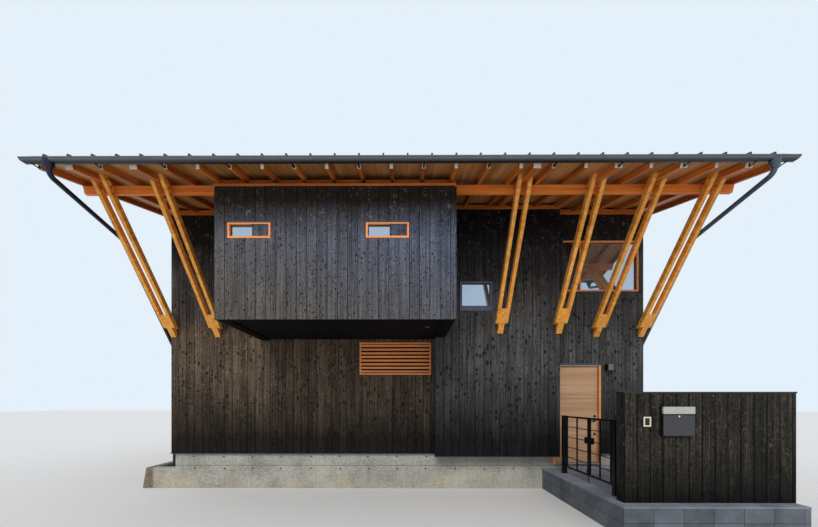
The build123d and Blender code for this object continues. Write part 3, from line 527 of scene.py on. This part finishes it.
def islands(node):
    """The corner points of each separate solid of a CAD node, lowest x first."""
    mesh = NODES[node].data
    keys = [tuple(round(c, 5) for c in vertex.co) for vertex in mesh.vertices]
    parent = {key: key for key in keys}

    def root(key):
        while parent[key] != key:
            parent[key] = parent[parent[key]]
            key = parent[key]
        return key

    for face in mesh.polygons:
        first = root(keys[face.vertices[0]])
        for vertex in face.vertices[1:]:
            parent[root(keys[vertex])] = first
    groups = {}
    for key in parent:
        groups.setdefault(root(key), []).append(Vector(key))
    return sorted(groups.values(),
                  key=lambda points: (min(p.x for p in points), min(p.y for p in points)))


def corners(points):
    """Lowest and highest corners of a set of points."""
    return [Vector([end(p[i] for p in points) for i in range(3)]) for end in (min, max)]


def boxes(node):
    return [corners(points) for points in islands(node)]


def node_box(node):
    low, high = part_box(node)
    return Vector(low), Vector(high)


NEAR = 0.03  # how far from a face a solid may stop and still count as on it


def near(value, place):
    return abs(value - place) < NEAR


# Faces, levels and frames that the pieces are set out from
WALL_LOW = node_box("front_wall_lower")[0]
SIDE_LOW, SIDE_HIGH = node_box("left_wall")
BAY_LOW, BAY_HIGH = node_box("bay_front")
BOX_LOW, BOX_HIGH = node_box("box_front")
DOOR_LOW, DOOR_HIGH = node_box("door_frame")
LEAF_LOW, LEAF_HIGH = node_box("door_leaf")
LEFT, RIGHT = SIDE_LOW.x, node_box("right_wall")[1].x
FRONT, BACK = WALL_LOW.y, SIDE_HIGH.y
FOOT = WALL_LOW.z
LEFT_TRIM, BOX_TRIM, BAY_TRIM, RIGHT_TRIM = [
    row[0].z for row in sorted(boxes("wall_top_trims"), key=lambda row: row[0].x)]
FRAMES = boxes("timber_window_frames")
BOX_FRAMES = [row for row in FRAMES if near(row[0].y, BOX_LOW.y)]
CORNER_LOW, CORNER_HIGH = max((row for row in FRAMES if near(row[0].y, FRONT)),
                              key=lambda row: row[1].x)
RAFTER_TIP = min(islands("rafters_front")[0], key=lambda p: p.z)
RIDGE_Y = node_box("rafters_front")[1].y
SLOPE = (SIDE_HIGH.z - RAFTER_TIP.z) / (RIDGE_Y - RAFTER_TIP.y)


def under(y):
    """Height of the rafters' underside at a depth."""
    return SIDE_HIGH.z - SLOPE * abs(y - RIDGE_Y)


# Mesh pieces

LAP = 0.001  # how far a thin piece laps into the solid behind it
OUTWARD, DOWN = (0, -1, 0), (0, 0, -1)
BOARD_THICK = 0.008
BOARD_EDGE = 0.0015
GRAIN_REACH = 20


class Face:
    """An upright face of the house: u runs along it and out points away from it."""

    def __init__(self, along, place, outward=-1):
        self.along, self.place, self.outward = along, place, outward

    def point(self, u, z, out):
        across = self.place + self.outward * out
        return (u, across, z) if self.along == "x" else (across, u, z)


class Batch:
    """Many small solids joined in one mesh, each with a tone and a shift for its grain."""

    def __init__(self, name, finish, slot="charred_board", body="house"):
        self.name, self.finish, self.slot, self.body = name, finish, slot, body
        self.points, self.faces, self.tones, self.shifts = [], [], [], []
        self.next_board()

    def next_board(self):
        self.tone = RNG.random()
        self.shift = tuple(RNG.uniform(-GRAIN_REACH, GRAIN_REACH) for _ in range(3))

    def stack(self, rings):
        """A closed solid through rings that all have the same number of points."""
        start, n = len(self.points), len(rings[0])
        total = n * len(rings)
        faces = [tuple(range(n)), tuple(range(total - 1, total - n - 1, -1))]
        for row in range(len(rings) - 1):
            for i in range(n):
                a, b = row * n + i, row * n + (i + 1) % n
                faces.append((a, b, b + n, a + n))
        self.points += [tuple(p) for ring in rings for p in ring]
        self.faces += [tuple(start + i for i in face) for face in faces]
        self.tones += [self.tone] * total
        self.shifts += [self.shift] * total

    def box(self, low, high):
        x, y, z = zip(low, high)
        flat = [(x[0], y[0]), (x[1], y[0]), (x[1], y[1]), (x[0], y[1])]
        self.stack([[(a, b, height) for a, b in flat] for height in z])

    def soft_box(self, low, high, edge):
        """A box with its upright and level edges planed off."""
        x, y, z = zip(low, high)

        def ring(height, inset):
            x0, x1, y0, y1 = x[0] + inset, x[1] - inset, y[0] + inset, y[1] - inset
            flat = [(x0 + edge, y0), (x1 - edge, y0), (x1, y0 + edge), (x1, y1 - edge),
                    (x1 - edge, y1), (x0 + edge, y1), (x0, y1 - edge), (x0, y0 + edge)]
            return [(a, b, height) for a, b in flat]

        self.stack([ring(z[0], edge), ring(z[0] + edge, 0),
                    ring(z[1] - edge, 0), ring(z[1], edge)])

    def slab(self, face, u, z, out):
        """A box on a face, between two values of u, of z and of the way out."""
        self.box(*corners([face.point(u[i], z[i], out[i]) for i in (0, 1)]))

    def disc(self, centre, axis, radius, depth, sides=12):
        """A low round head with a domed edge, standing on centre and rising along axis."""
        axis = Vector(axis).normalized()
        side = axis.orthogonal().normalized()
        other = axis.cross(side)
        turns = [2 * math.pi * i / sides for i in range(sides)]
        rings = []
        for share, rise in ((1, 0), (1, 0.6), (0.7, 1)):
            middle = Vector(centre) + axis * depth * rise
            rings.append([middle + (side * math.cos(t) + other * math.sin(t)) * radius * share
                          for t in turns])
        self.stack(rings)

    def board(self, face, u, bottom, tops, thick=BOARD_THICK, edge=BOARD_EDGE):
        """One upright board with eased front edges and a top that may slope."""
        outline = [(u[0], 0), (u[0], thick - edge), (u[0] + edge, thick),
                   (u[1] - edge, thick), (u[1], thick - edge), (u[1], 0)]
        rise = (tops[1] - tops[0]) / (u[1] - u[0])
        self.stack([[face.point(a, bottom, out) for a, out in outline],
                    [face.point(a, tops[0] + rise * (a - u[0]), out) for a, out in outline]])

    def build(self):
        mesh = bpy.data.meshes.new(self.name)
        mesh.from_pydata(self.points, [], self.faces)
        tone = mesh.attributes.new("tone", "FLOAT", "POINT")
        tone.data.foreach_set("value", self.tones)
        shift = mesh.attributes.new("shift", "FLOAT_VECTOR", "POINT")
        shift.data.foreach_set("vector", [c for row in self.shifts for c in row])
        work = bmesh.new()
        work.from_mesh(mesh)
        bmesh.ops.recalc_face_normals(work, faces=work.faces)
        work.to_mesh(mesh)
        work.free()
        piece = bpy.data.objects.new(self.name, mesh)
        bpy.context.scene.collection.objects.link(piece)
        piece.data.materials.append(FINISH[self.finish])
        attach(piece, self.body)


def block(name, finish, slot, low, high, edge, body="house"):
    """A piece that is one box with planed edges."""
    batch = Batch(name, finish, slot, body)
    batch.soft_box(low, high, edge)
    batch.build()


def button(name, finish, slot, centre, axis, radius, depth, sides):
    """A piece that is one round head."""
    batch = Batch(name, finish, slot)
    batch.disc(centre, axis, radius, depth, sides)
    batch.build()


def steps(start, end, pitch):
    """Places a pitch apart, from start to before end."""
    while start < end:
        yield start
        start += pitch


def parts(start, end, pitch):
    """The ends of the equal parts, each about a pitch long, that a length is cut into."""
    count = round((end - start) / pitch)
    step = (end - start) / count
    return [(start + n * step, start + (n + 1) * step) for n in range(count)]


def rim(a, b, low, high, width):
    """The four bars of a frame as (u, u), (z, z)."""
    return (((a, a + width), (low, high)), ((b - width, b), (low, high)),
            ((a + width, b - width), (low, low + width)),
            ((a + width, b - width), (high - width, high)))


# Cladding

BOARD_PITCH, BOARD_GAP = 0.157, 0.007
FENCE_PITCH, FENCE_GAP = 0.174, 0.012
SLIVER = 0.006
BUTT_EVERY, BUTT_FIRST = 4, 2  # one board in four is in two lengths, from the third on
BUTT_GAP = 0.012
MAIN_BUTT, BAY_BUTT = 1.76, 2.235
FRAME_CLEAR = 0.004
TOP_SHADOW = 0.004
FENCE_TOP_SHADOW = 0.002
NO_TOP = 99  # the upper end of a row that blocks all above it


def level(z):
    """A top edge that stays level."""
    return lambda u: z


def free_spans(bottom, blocked):
    """The stretches of height above bottom that no blocked row covers."""
    spans, low = [], bottom
    for start, end in sorted(row[2:] for row in blocked):
        if start > low:
            spans.append((low, start))
        low = max(low, end)
    spans.append((low, None))
    return spans


def clad(batch, face, u_range, bottom, top, blocked=(), breaks=(), pitch=BOARD_PITCH,
         gap=BOARD_GAP, butt=None):
    """Upright boards on a face, cut round the blocked rows of (u, u, z, z).

    A board is also cut at each break. With a butt height, every fourth board is in two lengths
    that meet there."""
    start, end = u_range
    for n in range(math.ceil((end - start) / pitch)):
        batch.next_board()
        low = start + n * pitch + gap / 2
        high = min(start + (n + 1) * pitch, end) - gap / 2
        if high - low < gap:
            continue
        edges = {low, high} | {u for u in breaks if low < u < high}
        edges |= {u for row in blocked for u in row[:2] if low < u < high}
        edges = sorted(edges)
        joint = butt if n % BUTT_EVERY == BUTT_FIRST else None
        for a, b in zip(edges, edges[1:]):
            if b - a < SLIVER:
                continue
            middle = (a + b) / 2
            rows = [row for row in blocked if row[0] < middle < row[1]]
            for z0, z1 in free_spans(bottom, rows):
                tops = (top(a), top(b)) if z1 is None else (z1, z1)
                if min(tops) - z0 < SLIVER:
                    continue
                if joint and z0 < joint < min(tops):
                    batch.board(face, (a, b), z0, (joint - BUTT_GAP, joint - BUTT_GAP))
                    z0 = joint
                batch.board(face, (a, b), z0, tops)


def gap_round(low, high, axis="x"):
    """The row that a frame blocks on a face, with a little clearance."""
    i = "xy".index(axis)
    return (low[i] - FRAME_CLEAR, high[i] + FRAME_CLEAR, low.z - FRAME_CLEAR, high.z + FRAME_CLEAR)


def clad_front():
    main = Batch("main_wall_boards", "charred_front")
    wall = Face("x", FRONT)
    soffit = node_box("box_soffit")[0].z
    rows = [gap_round(*node_box("louvre")), (BOX_LOW.x, BOX_HIGH.x, soffit, NO_TOP)]
    clad(main, wall, (LEFT, BAY_LOW.x), FOOT, level(LEFT_TRIM), rows, butt=MAIN_BUTT)
    main.build()
    beside = Batch("door_side_boards", "charred_right")
    rows = [gap_round(DOOR_LOW, DOOR_HIGH), gap_round(CORNER_LOW, CORNER_HIGH)]
    clad(beside, wall, (BAY_HIGH.x, RIGHT), FOOT, level(RIGHT_TRIM), rows)
    beside.build()


def clad_bay():
    bay = Batch("bay_boards", "charred_bay")
    window = node_box("bay_window_frame")
    rows = [gap_round(*window), (BAY_LOW.x, BOX_HIGH.x, BOX_LOW.z, NO_TOP)]
    face = Face("x", BAY_LOW.y)
    clad(bay, face, (BAY_LOW.x, BAY_HIGH.x), BAY_LOW.z, level(BAY_TRIM), rows, butt=BAY_BUTT)
    for x, outward, top in ((BAY_LOW.x, -1, level(BOX_LOW.z)),
                            (BAY_HIGH.x, 1, lambda y: under(y) - TOP_SHADOW)):
        clad(bay, Face("y", x, outward), (BAY_LOW.y, FRONT), FOOT, top)
    bay.build()


def box_shelf():
    """Level of the box front's lowered outer part, and where its raised back part begins."""
    points = islands("box_front")[0]
    shelf = min((p for p in points if p.z > BOX_TRIM), key=lambda p: (p.y, p.z)).z
    return shelf, min(p.y for p in points if p.z > shelf + NEAR)


def clad_box():
    box = Batch("hanging_box_boards", "charred_box")
    rows = [gap_round(*row) for row in BOX_FRAMES]
    face = Face("x", BOX_LOW.y)
    clad(box, face, (BOX_LOW.x, BOX_HIGH.x), BOX_LOW.z, level(BOX_TRIM), rows)
    shelf, plate = box_shelf()
    for x, outward, end in ((BOX_LOW.x, -1, FRONT), (BOX_HIGH.x, 1, BAY_LOW.y)):
        clad(box, Face("y", x, outward), (BOX_LOW.y, plate), BOX_LOW.z, level(shelf))
        clad(box, Face("y", x, outward), (plate, end), BOX_LOW.z, under)
    box.build()


def clad_sides_and_back():
    for name, side, outward in (("left", LEFT, -1), ("right", RIGHT, 1)):
        gable = Batch(f"{name}_wall_boards", "charred_sides")
        rows = [gap_round(low, high, "y") for low, high in FRAMES
                if near(low.x, side) or near(high.x, side)]
        clad(gable, Face("y", side, outward), (FRONT, BACK), FOOT, under, rows, (RIDGE_Y,))
        gable.build()
    rear = Batch("back_wall_boards", "charred_sides")
    rows = [gap_round(*row) for row in FRAMES if near(row[1].y, BACK)]
    clad(rear, Face("x", BACK, 1), (LEFT, RIGHT), FOOT, level(under(BACK) - TOP_SHADOW), rows)
    rear.build()


def clad_screen():
    screen = Batch("fence_face_boards", "charred_fence")
    low, high = node_box("fence_boards")
    top = level(high.z - FENCE_TOP_SHADOW)
    for along, (i, across) in (("x", (0, 1)), ("y", (1, 0))):
        for place, outward in ((low[across], -1), (high[across], 1)):
            clad(screen, Face(along, place, outward), (low[i], high[i]), low.z, top,
                 pitch=FENCE_PITCH, gap=FENCE_GAP)
    screen.build()


# Metal strips, painted rafter ends, bolts, tie holes and nails

SHEET = 0.002
FLASHING_PROUD, FLASHING_DROP, FLASHING_BED = 0.016, 0.016, 0.045
BAY_FLASHING_OVER = 0.008
CAP_PROUD, CAP_BED, CAP_RISE = 0.012, 0.030, 0.010
DOOR_CAP_LAP, DOOR_CAP_OVER = 0.030, 0.004
BOX_CAP_LAP, BOX_CAP_OVER = 0.008, 0.010


def make_flashings():
    strips = Batch("wall_foot_flashings", "flashing", "dark_metal")

    def strip(face, u, foot):
        """A level sheet under a wall's foot and the drip at its outer edge."""
        top = foot - LAP
        strips.slab(face, u, (top - SHEET, top), (-FLASHING_BED, FLASHING_PROUD))
        strips.slab(face, u, (top - FLASHING_DROP, top), (FLASHING_PROUD - SHEET, FLASHING_PROUD))

    def cap(low, high, lap, over):
        """A folded cap that laps a frame's head."""
        strips.soft_box((low.x - over, low.y - CAP_PROUD, high.z - lap),
                        (high.x + over, low.y + CAP_BED, high.z + CAP_RISE), 0.003)

    left, right = LEFT - FLASHING_PROUD, RIGHT + FLASHING_PROUD
    front = Face("x", FRONT)
    strip(front, (left, BAY_LOW.x), FOOT)
    strip(front, (DOOR_HIGH.x, right), FOOT)
    bay = (BAY_LOW.x - FLASHING_PROUD, BAY_HIGH.x + BAY_FLASHING_OVER)
    strip(Face("x", BAY_LOW.y), bay, BAY_LOW.z)
    for side, outward in ((LEFT, -1), (RIGHT, 1)):
        strip(Face("y", side, outward), (FRONT - FLASHING_PROUD, BACK + FLASHING_PROUD), FOOT)
    strip(Face("x", BACK, 1), (left, right), FOOT)
    cap(DOOR_LOW, DOOR_HIGH, DOOR_CAP_LAP, DOOR_CAP_OVER)
    for low, high in BOX_FRAMES:
        cap(low, high, BOX_CAP_LAP, BOX_CAP_OVER)
    strips.build()


def make_door_surround():
    """The board over the door leaf, the stop beside it and the sill plate under it."""
    y, head = DOOR_LOW.y, DOOR_HIGH.z - DOOR_CAP_LAP
    stop_w, sill_in, sill_deep, sill_rise = 0.018, 0.045, 0.10, 0.023
    block("door_head_board", "door_plank", "door_wood",
          (LEAF_LOW.x, y - 0.004, LEAF_HIGH.z + LAP), (LEAF_HIGH.x, y + LAP, head), 0.001)
    block("door_stop_strip", "door_stop", "door_wood",
          (LEAF_HIGH.x + LAP, y - 0.003, LEAF_LOW.z), (LEAF_HIGH.x + stop_w, y + LAP, head), 0.001)
    block("door_sill_plate", "step_joint", "paving",
          (DOOR_LOW.x + sill_in, y - 0.006, DOOR_LOW.z),
          (DOOR_HIGH.x - sill_in, y + sill_deep, DOOR_LOW.z + sill_rise), 0.002)


PAINT = 0.002
# share of each rafter end in white, below the painted shade
PAINT_SPLIT = 0.62


def make_rafter_paint():
    """White paint on the rafters' leaning ends, with a painted shade in grey over its upper part.
    """
    paint = Batch("rafter_end_paint", "white_paint", "pale_plastic")
    shade = Batch("rafter_end_shade", "shaded_paint", "pale_plastic")
    for points in islands("rafters_front") + islands("rafters_wide"):
        low = min(points, key=lambda p: p.z)
        high = min(points, key=lambda p: p.y)
        sides = (min(p.x for p in points), max(p.x for p in points))
        up = (high - low) * Vector((0, 1, 1))
        out = Vector((0, -up.z, up.y)).normalized() * PAINT
        for batch, start, end in ((paint, 0, PAINT_SPLIT), (shade, PAINT_SPLIT, 1)):
            ring = [low + up * share + out * way
                    for share, way in ((start, -1), (start, 1), (end, 1), (end, -1))]
            batch.stack([[(x, p.y, p.z) for p in ring] for x in sides])
    paint.build()
    shade.build()


BOLT_IN = 0.06
BOLTS_FROM_FOOT, BOLTS_FROM_TIP = (0.10, 0.23), (0.08, 0.20)
BOLT_R, BOLT_H = 0.013, 0.004


def make_bolts():
    bolts = Batch("strut_bolts", "bolt", "black_metal")
    for points in islands("eave_struts"):
        low, high = corners(points)
        foot = min(points, key=lambda p: (round(p.z, 3), p.y))
        tip = min(points, key=lambda p: p.y)
        along = Vector((0, tip.y - foot.y, tip.z - foot.z))
        length = along.length
        along.normalize()
        middle = foot + Vector((0, along.z, -along.y)) * BOLT_IN
        for distance in (*BOLTS_FROM_FOOT, *(length - d for d in BOLTS_FROM_TIP)):
            place = middle + along * distance
            for x, way in ((low.x, -1), (high.x, 1)):
                bolts.disc((x, place.y, place.z), (way, 0, 0), BOLT_R, BOLT_H)
    bolts.build()


TIE_ROWS = (0.655, 0.405)
TIE_START, TIE_PITCH = 0.40, 0.60
TIE_R, TIE_H = 0.017, 0.003
TIE_DRIFT_X, TIE_DRIFT_Z = 0.02, 0.006
TIE_DOOR_GAP = 0.1


def make_tie_holes():
    holes = Batch("concrete_tie_holes", "tie_hole", "concrete")
    low, high = node_box("plinth_front_and_back")
    for z in TIE_ROWS:
        for x in steps(low.x + TIE_START, DOOR_LOW.x - TIE_DOOR_GAP, TIE_PITCH):
            place = x + RNG.uniform(-TIE_DRIFT_X, TIE_DRIFT_X)
            height = z + RNG.uniform(-TIE_DRIFT_Z, TIE_DRIFT_Z)
            holes.disc((place, low.y + LAP, height), OUTWARD, TIE_R, TIE_H)
        for side, way in ((low.x, -1), (high.x, 1)):
            for y in steps(low.y + TIE_START, high.y, TIE_PITCH):
                holes.disc((side - way * LAP, y, z), (way, 0, 0), TIE_R, TIE_H)
        for x in steps(low.x + TIE_START, high.x, TIE_PITCH):
            holes.disc((x, high.y - LAP, z), (0, 1, 0), TIE_R, TIE_H)
    holes.build()


NAIL_DROP = 0.035
NAIL_SHARES = (0.2, 0.5, 0.8)
NAIL_DRIFT = 0.004
NAIL_R, NAIL_H = 0.006, 0.0015


def make_nails():
    """A row of nail heads along the top of the box, three to a board."""
    nails = Batch("box_nail_heads", "nail", "steel")
    face = BOX_LOW.y - BOARD_THICK
    for n in range(int((BOX_HIGH.x - BOX_LOW.x) / BOARD_PITCH)):
        for share in NAIL_SHARES:
            x = BOX_LOW.x + (n + share) * BOARD_PITCH
            z = BOX_TRIM - NAIL_DROP + RNG.uniform(-NAIL_DRIFT, NAIL_DRIFT)
            nails.disc((x, face, z), OUTWARD, NAIL_R, NAIL_H, 8)
    nails.build()


# Door, windows and fittings

PLANK_H = 0.095
PLANK_SEAM = 0.0012
LEAF_STRIP_W = 0.022


def make_door_planks():
    """Level planks on the leaf's face, and an upright strip along its hinge side."""
    planks = Batch("door_planks", "door_plank", "door_wood", "door")
    low, high = LEAF_LOW, LEAF_HIGH
    for z0, z1 in parts(low.z, high.z, PLANK_H):
        planks.next_board()
        planks.slab(Face("x", low.y), (low.x + LEAF_STRIP_W, high.x - 0.002),
                    (z0 + PLANK_SEAM, z1 - PLANK_SEAM), (-LAP, 0.003))
    planks.build()
    block("door_edge_strip", "door_edge", "door_wood", (low.x, low.y - 0.004, low.z),
          (low.x + LEAF_STRIP_W - 0.002, low.y + LAP, high.z), 0.001, "door")


GASKET_W, GASKET_H = 0.012, 0.006


def make_gaskets():
    """A slim dark gasket round every pane."""
    gaskets = Batch("window_gaskets", "gasket", "black_metal")
    for low, high in boxes("window_glass"):
        i, thin = (0, 1) if high.x - low.x > high.y - low.y else (1, 0)
        faces_low = low[thin] < (0, RIDGE_Y)[thin]
        place, outward = (low[thin], -1) if faces_low else (high[thin], 1)
        for u, z in rim(low[i], high[i], low.z, high.z, GASKET_W):
            gaskets.slab(Face("xy"[i], place, outward), u, z, (0, GASKET_H))
    gaskets.build()


BAY_FRAME_IN = 0.02
BAY_RAIL_Y = (0.006, 0.03)
RAIL_TOP = 0.100
STILE_IN = (0.044, 0.040)


def make_bay_window_rail():
    """The bay window's sash: a broad lower rail and a stile at each side."""
    rail = Batch("bay_window_lower_rail", "window_metal", "window_metal")
    low, high = node_box("bay_window_frame")
    y0, y1 = (low.y + depth for depth in BAY_RAIL_Y)
    left, right, split = low.x + BAY_FRAME_IN, high.x - BAY_FRAME_IN, low.z + RAIL_TOP
    top = high.z - BAY_FRAME_IN
    rail.soft_box((left, y0, low.z + BAY_FRAME_IN), (right, y1, split), 0.002)
    rail.soft_box((left, y0, split), (low.x + STILE_IN[0], y1, top), 0.002)
    rail.soft_box((high.x - STILE_IN[1], y0, split), (right, y1, top), 0.002)
    rail.build()


COVER_IN = 0.042
COVER_W = 0.048


def make_window_boards():
    """The charred board that covers the corner window's left stile, and the box's flush panels."""
    low, high = CORNER_LOW, CORNER_HIGH
    block("corner_window_cover_board", "charred_right", "charred_board",
          (low.x - 0.003, low.y - 0.004, low.z + COVER_IN),
          (low.x + COVER_W, low.y + 0.004, high.z - COVER_IN), 0.001)
    panels = Batch("box_panel_boards", "charred_box")
    for low, high in boxes("window_side_panels"):
        half = (low.x + high.x) / 2
        for a, b in ((low.x, half), (half, high.x)):
            panels.next_board()
            panels.board(Face("x", low.y), (a + 0.002, b - 0.002), low.z, (high.z, high.z),
                         0.004, 0.001)
    panels.build()


FLAP_SHARE = 0.74
SLOT_HALF = 0.006
NOTCH_X = (0.09, 0.03)
KNOB_DROP = 0.026


def make_mailbox():
    """The mailbox's flap, front plate, dark slot between them and knob."""
    low, high = node_box("mailbox")
    split = low.z + (high.z - low.z) * FLAP_SHARE
    block("mailbox_flap", "flap", "grey_plastic",
          (low.x - LAP, low.y - 0.002, split + SLOT_HALF),
          (high.x + LAP, low.y + 0.03, high.z + LAP), 0.003)
    block("mailbox_plate", "mailbox_body", "grey_plastic",
          (low.x + 0.003, low.y + 0.005, low.z + 0.003),
          (high.x - LAP, low.y + 0.012, split - 0.008), 0.002)
    slot = Batch("mailbox_slot", "gasket", "black_metal")
    slot.box((low.x + 0.004, low.y - 0.0005, split - SLOT_HALF),
             (high.x - 0.004, low.y + 0.02, split + SLOT_HALF))
    slot.box((high.x - NOTCH_X[0], low.y + 0.004, split - 0.014),
             (high.x - NOTCH_X[1], low.y + 0.02, split - 0.004))
    slot.build()
    button("mailbox_knob", "white_paint", "pale_plastic",
           ((low.x + high.x) / 2, low.y + 0.005, split - KNOB_DROP), OUTWARD,
           0.011, 0.008, 20)


INTERCOM_RIM = 0.018
LENS_UP = 0.025


def make_intercom():
    """The intercom's pale rim, its dark panel in two parts and its lens."""
    low, high = node_box("intercom")
    bars = Batch("intercom_rim", "ivory", "pale_plastic")
    for x, z in rim(low.x, high.x, low.z, high.z, INTERCOM_RIM):
        bars.soft_box((x[0], low.y - 0.004, z[0]), (x[1], low.y + LAP, z[1]), 0.001)
    bars.build()
    dark = Batch("intercom_panel", "gasket", "black_metal")
    middle = (low.z + high.z) / 2
    x = (low.x + INTERCOM_RIM, high.x - INTERCOM_RIM)
    for z in ((low.z + INTERCOM_RIM, middle - 0.003), (middle + 0.003, high.z - INTERCOM_RIM)):
        dark.slab(Face("x", low.y), x, z, (-LAP, LAP))
    dark.disc(((low.x + high.x) / 2, low.y - LAP, middle + LENS_UP), OUTWARD,
              0.012, 0.003, 20)
    dark.build()


DOWNLIGHT_X, DOWNLIGHT_IN = 0.35, 0.55
SOFFIT_PITCH = 0.105


def make_lamps_and_soffit():
    """The wall lamp's face and lens, the downlight under the box and the soffit's boards."""
    low, high = node_box("entrance_lamp")
    block("lamp_front_plate", "lamp_face", "lamp_metal",
          (low.x + 0.003, low.y - 0.002, low.z + 0.003),
          (high.x - 0.003, low.y + 0.002, high.z - 0.003), 0.001)
    button("lamp_lens", "white_paint", "pale_plastic",
           ((low.x + high.x) / 2, (low.y + high.y) / 2, low.z + LAP), DOWN,
           0.036, 0.003, 24)
    low, high = node_box("box_soffit")
    button("soffit_downlight", "lamp_face", "lamp_metal",
           (DOWNLIGHT_X, low.y + DOWNLIGHT_IN, low.z + LAP), DOWN, 0.05, 0.006, 28)
    seams = Batch("soffit_boards", "soffit_board", "dark_soffit")
    for y0, y1 in parts(low.y, high.y, SOFFIT_PITCH):
        seams.next_board()
        seams.box((low.x + 0.004, y0 + 0.002, low.z - 0.004),
                  (high.x - 0.004, y1 - 0.002, low.z + LAP))
    seams.build()


GATE_X = 3.04
GATE_POSTS = (-0.5075, -2.2475)
POST_CAP = 0.040
GUIDE_Z, GUIDE_H = 0.56, 0.10
GUIDE_X = (0.026, 0.012)


def make_gate_details():
    """The guide of the left leaf's bolt, and a cap on each gate post."""
    low = node_box("gate_leaf_a")[0]
    block("gate_bolt_guide", "gate_black", "black_metal",
          (GATE_X - GUIDE_X[0], low.y - 0.006, GUIDE_Z),
          (GATE_X - GUIDE_X[1], low.y + 0.030, GUIDE_Z + GUIDE_H), 0.003, "gate_a")
    caps = Batch("gate_post_caps", "gate_black", "black_metal")
    top = node_box("gate_posts")[1].z
    for y in GATE_POSTS:
        caps.soft_box((GATE_X - POST_CAP, y - POST_CAP, top - LAP),
                      (GATE_X + POST_CAP, y + POST_CAP, top + 0.005), 0.002)
    caps.build()


# Paving, edge blocks and gutters

STONE_JOINT = 0.006
STONE_LENGTH = 0.60
KERB_LENGTH = 0.39
KERB_JOINT = 0.003
KERB_PROUD = 0.004
KERB_REST = 0.02
KERB_LEVEL_IN = 0.002


def make_paving():
    """Paving on the entrance step, a hair proud of the CAD face."""
    low, high = node_box("step_paving")
    stones = Batch("paving_stones", "paving_stone", "paving")
    half = STONE_JOINT / 2
    for y0, y1 in parts(low.y, high.y, STONE_LENGTH):
        for x0, x1 in parts(low.x, high.x, STONE_LENGTH / 2):
            stones.next_board()
            stones.box((x0 + half, y0 + half, high.z - LAP), (x1 - half, y1 - half, high.z + LAP))
    stones.build()


def make_edge_blocks():
    """Two courses of blocks along the entrance step's left and front edges."""
    edge = Batch("step_edge_blocks", "kerb_stone", "kerb_block")
    low, high = node_box("entrance_step")
    middle = (low.z + high.z) / 2
    sides = ((Face("y", low.x), low.y, high.y), (Face("x", low.y), low.x, high.x))
    for z in ((low.z + KERB_LEVEL_IN, middle - KERB_JOINT),
              (middle + KERB_JOINT, high.z - KERB_LEVEL_IN)):
        for face, start, end in sides:
            for u in steps(start, end - KERB_REST, KERB_LENGTH):
                edge.next_board()
                u_range = (u + KERB_JOINT, min(u + KERB_LENGTH, end) - KERB_JOINT)
                edge.slab(face, u_range, z, (-LAP, KERB_PROUD))
    edge.build()


GUTTER_RIM = 0.006
RIM_DROP, RIM_RISE = 0.014, 0.002


def make_gutter_rims():
    """The rolled rim along each gutter's outer edge."""
    rims = Batch("gutter_rims", "gutter", "dark_metal")
    for low, high in boxes("gutters"):
        in_front = low.y < 0
        y = (low.y - GUTTER_RIM, low.y + GUTTER_RIM) if in_front else (high.y - GUTTER_RIM, high.y)
        rims.soft_box((low.x, y[0], high.z - RIM_DROP), (high.x, y[1], high.z + RIM_RISE), 0.003)
    rims.build()


# Floor, sky, sun

FLOOR_SIZE, FLOOR_DROP = 160, 0.002
FLOOR_SEEN, FLOOR_BOUNCE = srgb(236, 236, 236), (0.8, 0.77, 0.72)
SKY_LIGHT, SKY_SEEN = ((0.93, 0.96, 1), 0.7), (srgb(228, 240, 250), 1)  # colour, strength
SUN_ENERGY, SUN_COLOUR = 1.5, (1, 0.97, 0.92)
SUN_WIDTH = math.radians(25)
SUN_TURN = (math.radians(60), 0, math.radians(-12))


def seen_directly(graph):
    """One for rays from the camera, a reflection or a pane, and zero for bounced light."""
    path = graph.add("LightPath", {})
    total = graph.maths("MAXIMUM", path["Is Camera Ray"], path["Is Glossy Ray"])
    return graph.maths("MAXIMUM", total, path["Is Transmission Ray"])


def make_floor():
    """A pale floor that keeps shadows and sends little light back up under the eave."""
    graph = Graph("floor")
    graph.finish(graph.mix(seen_directly(graph), FLOOR_BOUNCE, FLOOR_SEEN), 0.9, specular=0.1)
    bpy.ops.mesh.primitive_plane_add(size=FLOOR_SIZE, location=(0, 0, -FLOOR_DROP))
    floor = bpy.context.object
    floor.name = "floor"
    floor.data.materials.append(FINISH["floor"])


def make_sky():
    """A sky that is seen in one colour and lights the scene with another."""
    graph = Graph("world", bpy.data.worlds)
    bpy.context.scene.world = graph.owner
    light, seen = (graph.add("Background", {"Color": colour, "Strength": strength})[0]
                   for colour, strength in (SKY_LIGHT, SKY_SEEN))
    sky = graph.add("MixShader", {"Fac": seen_directly(graph), 1: light, 2: seen})[0]
    graph.put(sky, graph.tree.nodes["World Output"].inputs["Surface"])


def make_sun():
    sun = bpy.data.lights.new("key", "SUN")
    sun.energy = SUN_ENERGY
    sun.angle = SUN_WIDTH
    sun.color = SUN_COLOUR
    key = bpy.data.objects.new("key", sun)
    key.rotation_euler = SUN_TURN
    key.visible_glossy = False
    bpy.context.scene.collection.objects.link(key)


make_camera()
make_floor()
make_sky()
make_sun()
bpy.context.scene.view_settings.view_transform = "Standard"
dress_nodes()
clad_front()
clad_bay()
clad_box()
clad_sides_and_back()
clad_screen()
make_flashings()
make_door_surround()
make_rafter_paint()
make_bolts()
make_tie_holes()
make_nails()
make_door_planks()
make_gaskets()
make_bay_window_rail()
make_window_boards()
make_mailbox()
make_intercom()
make_lamps_and_soffit()
make_gate_details()
make_paving()
make_edge_blocks()
make_gutter_rims()
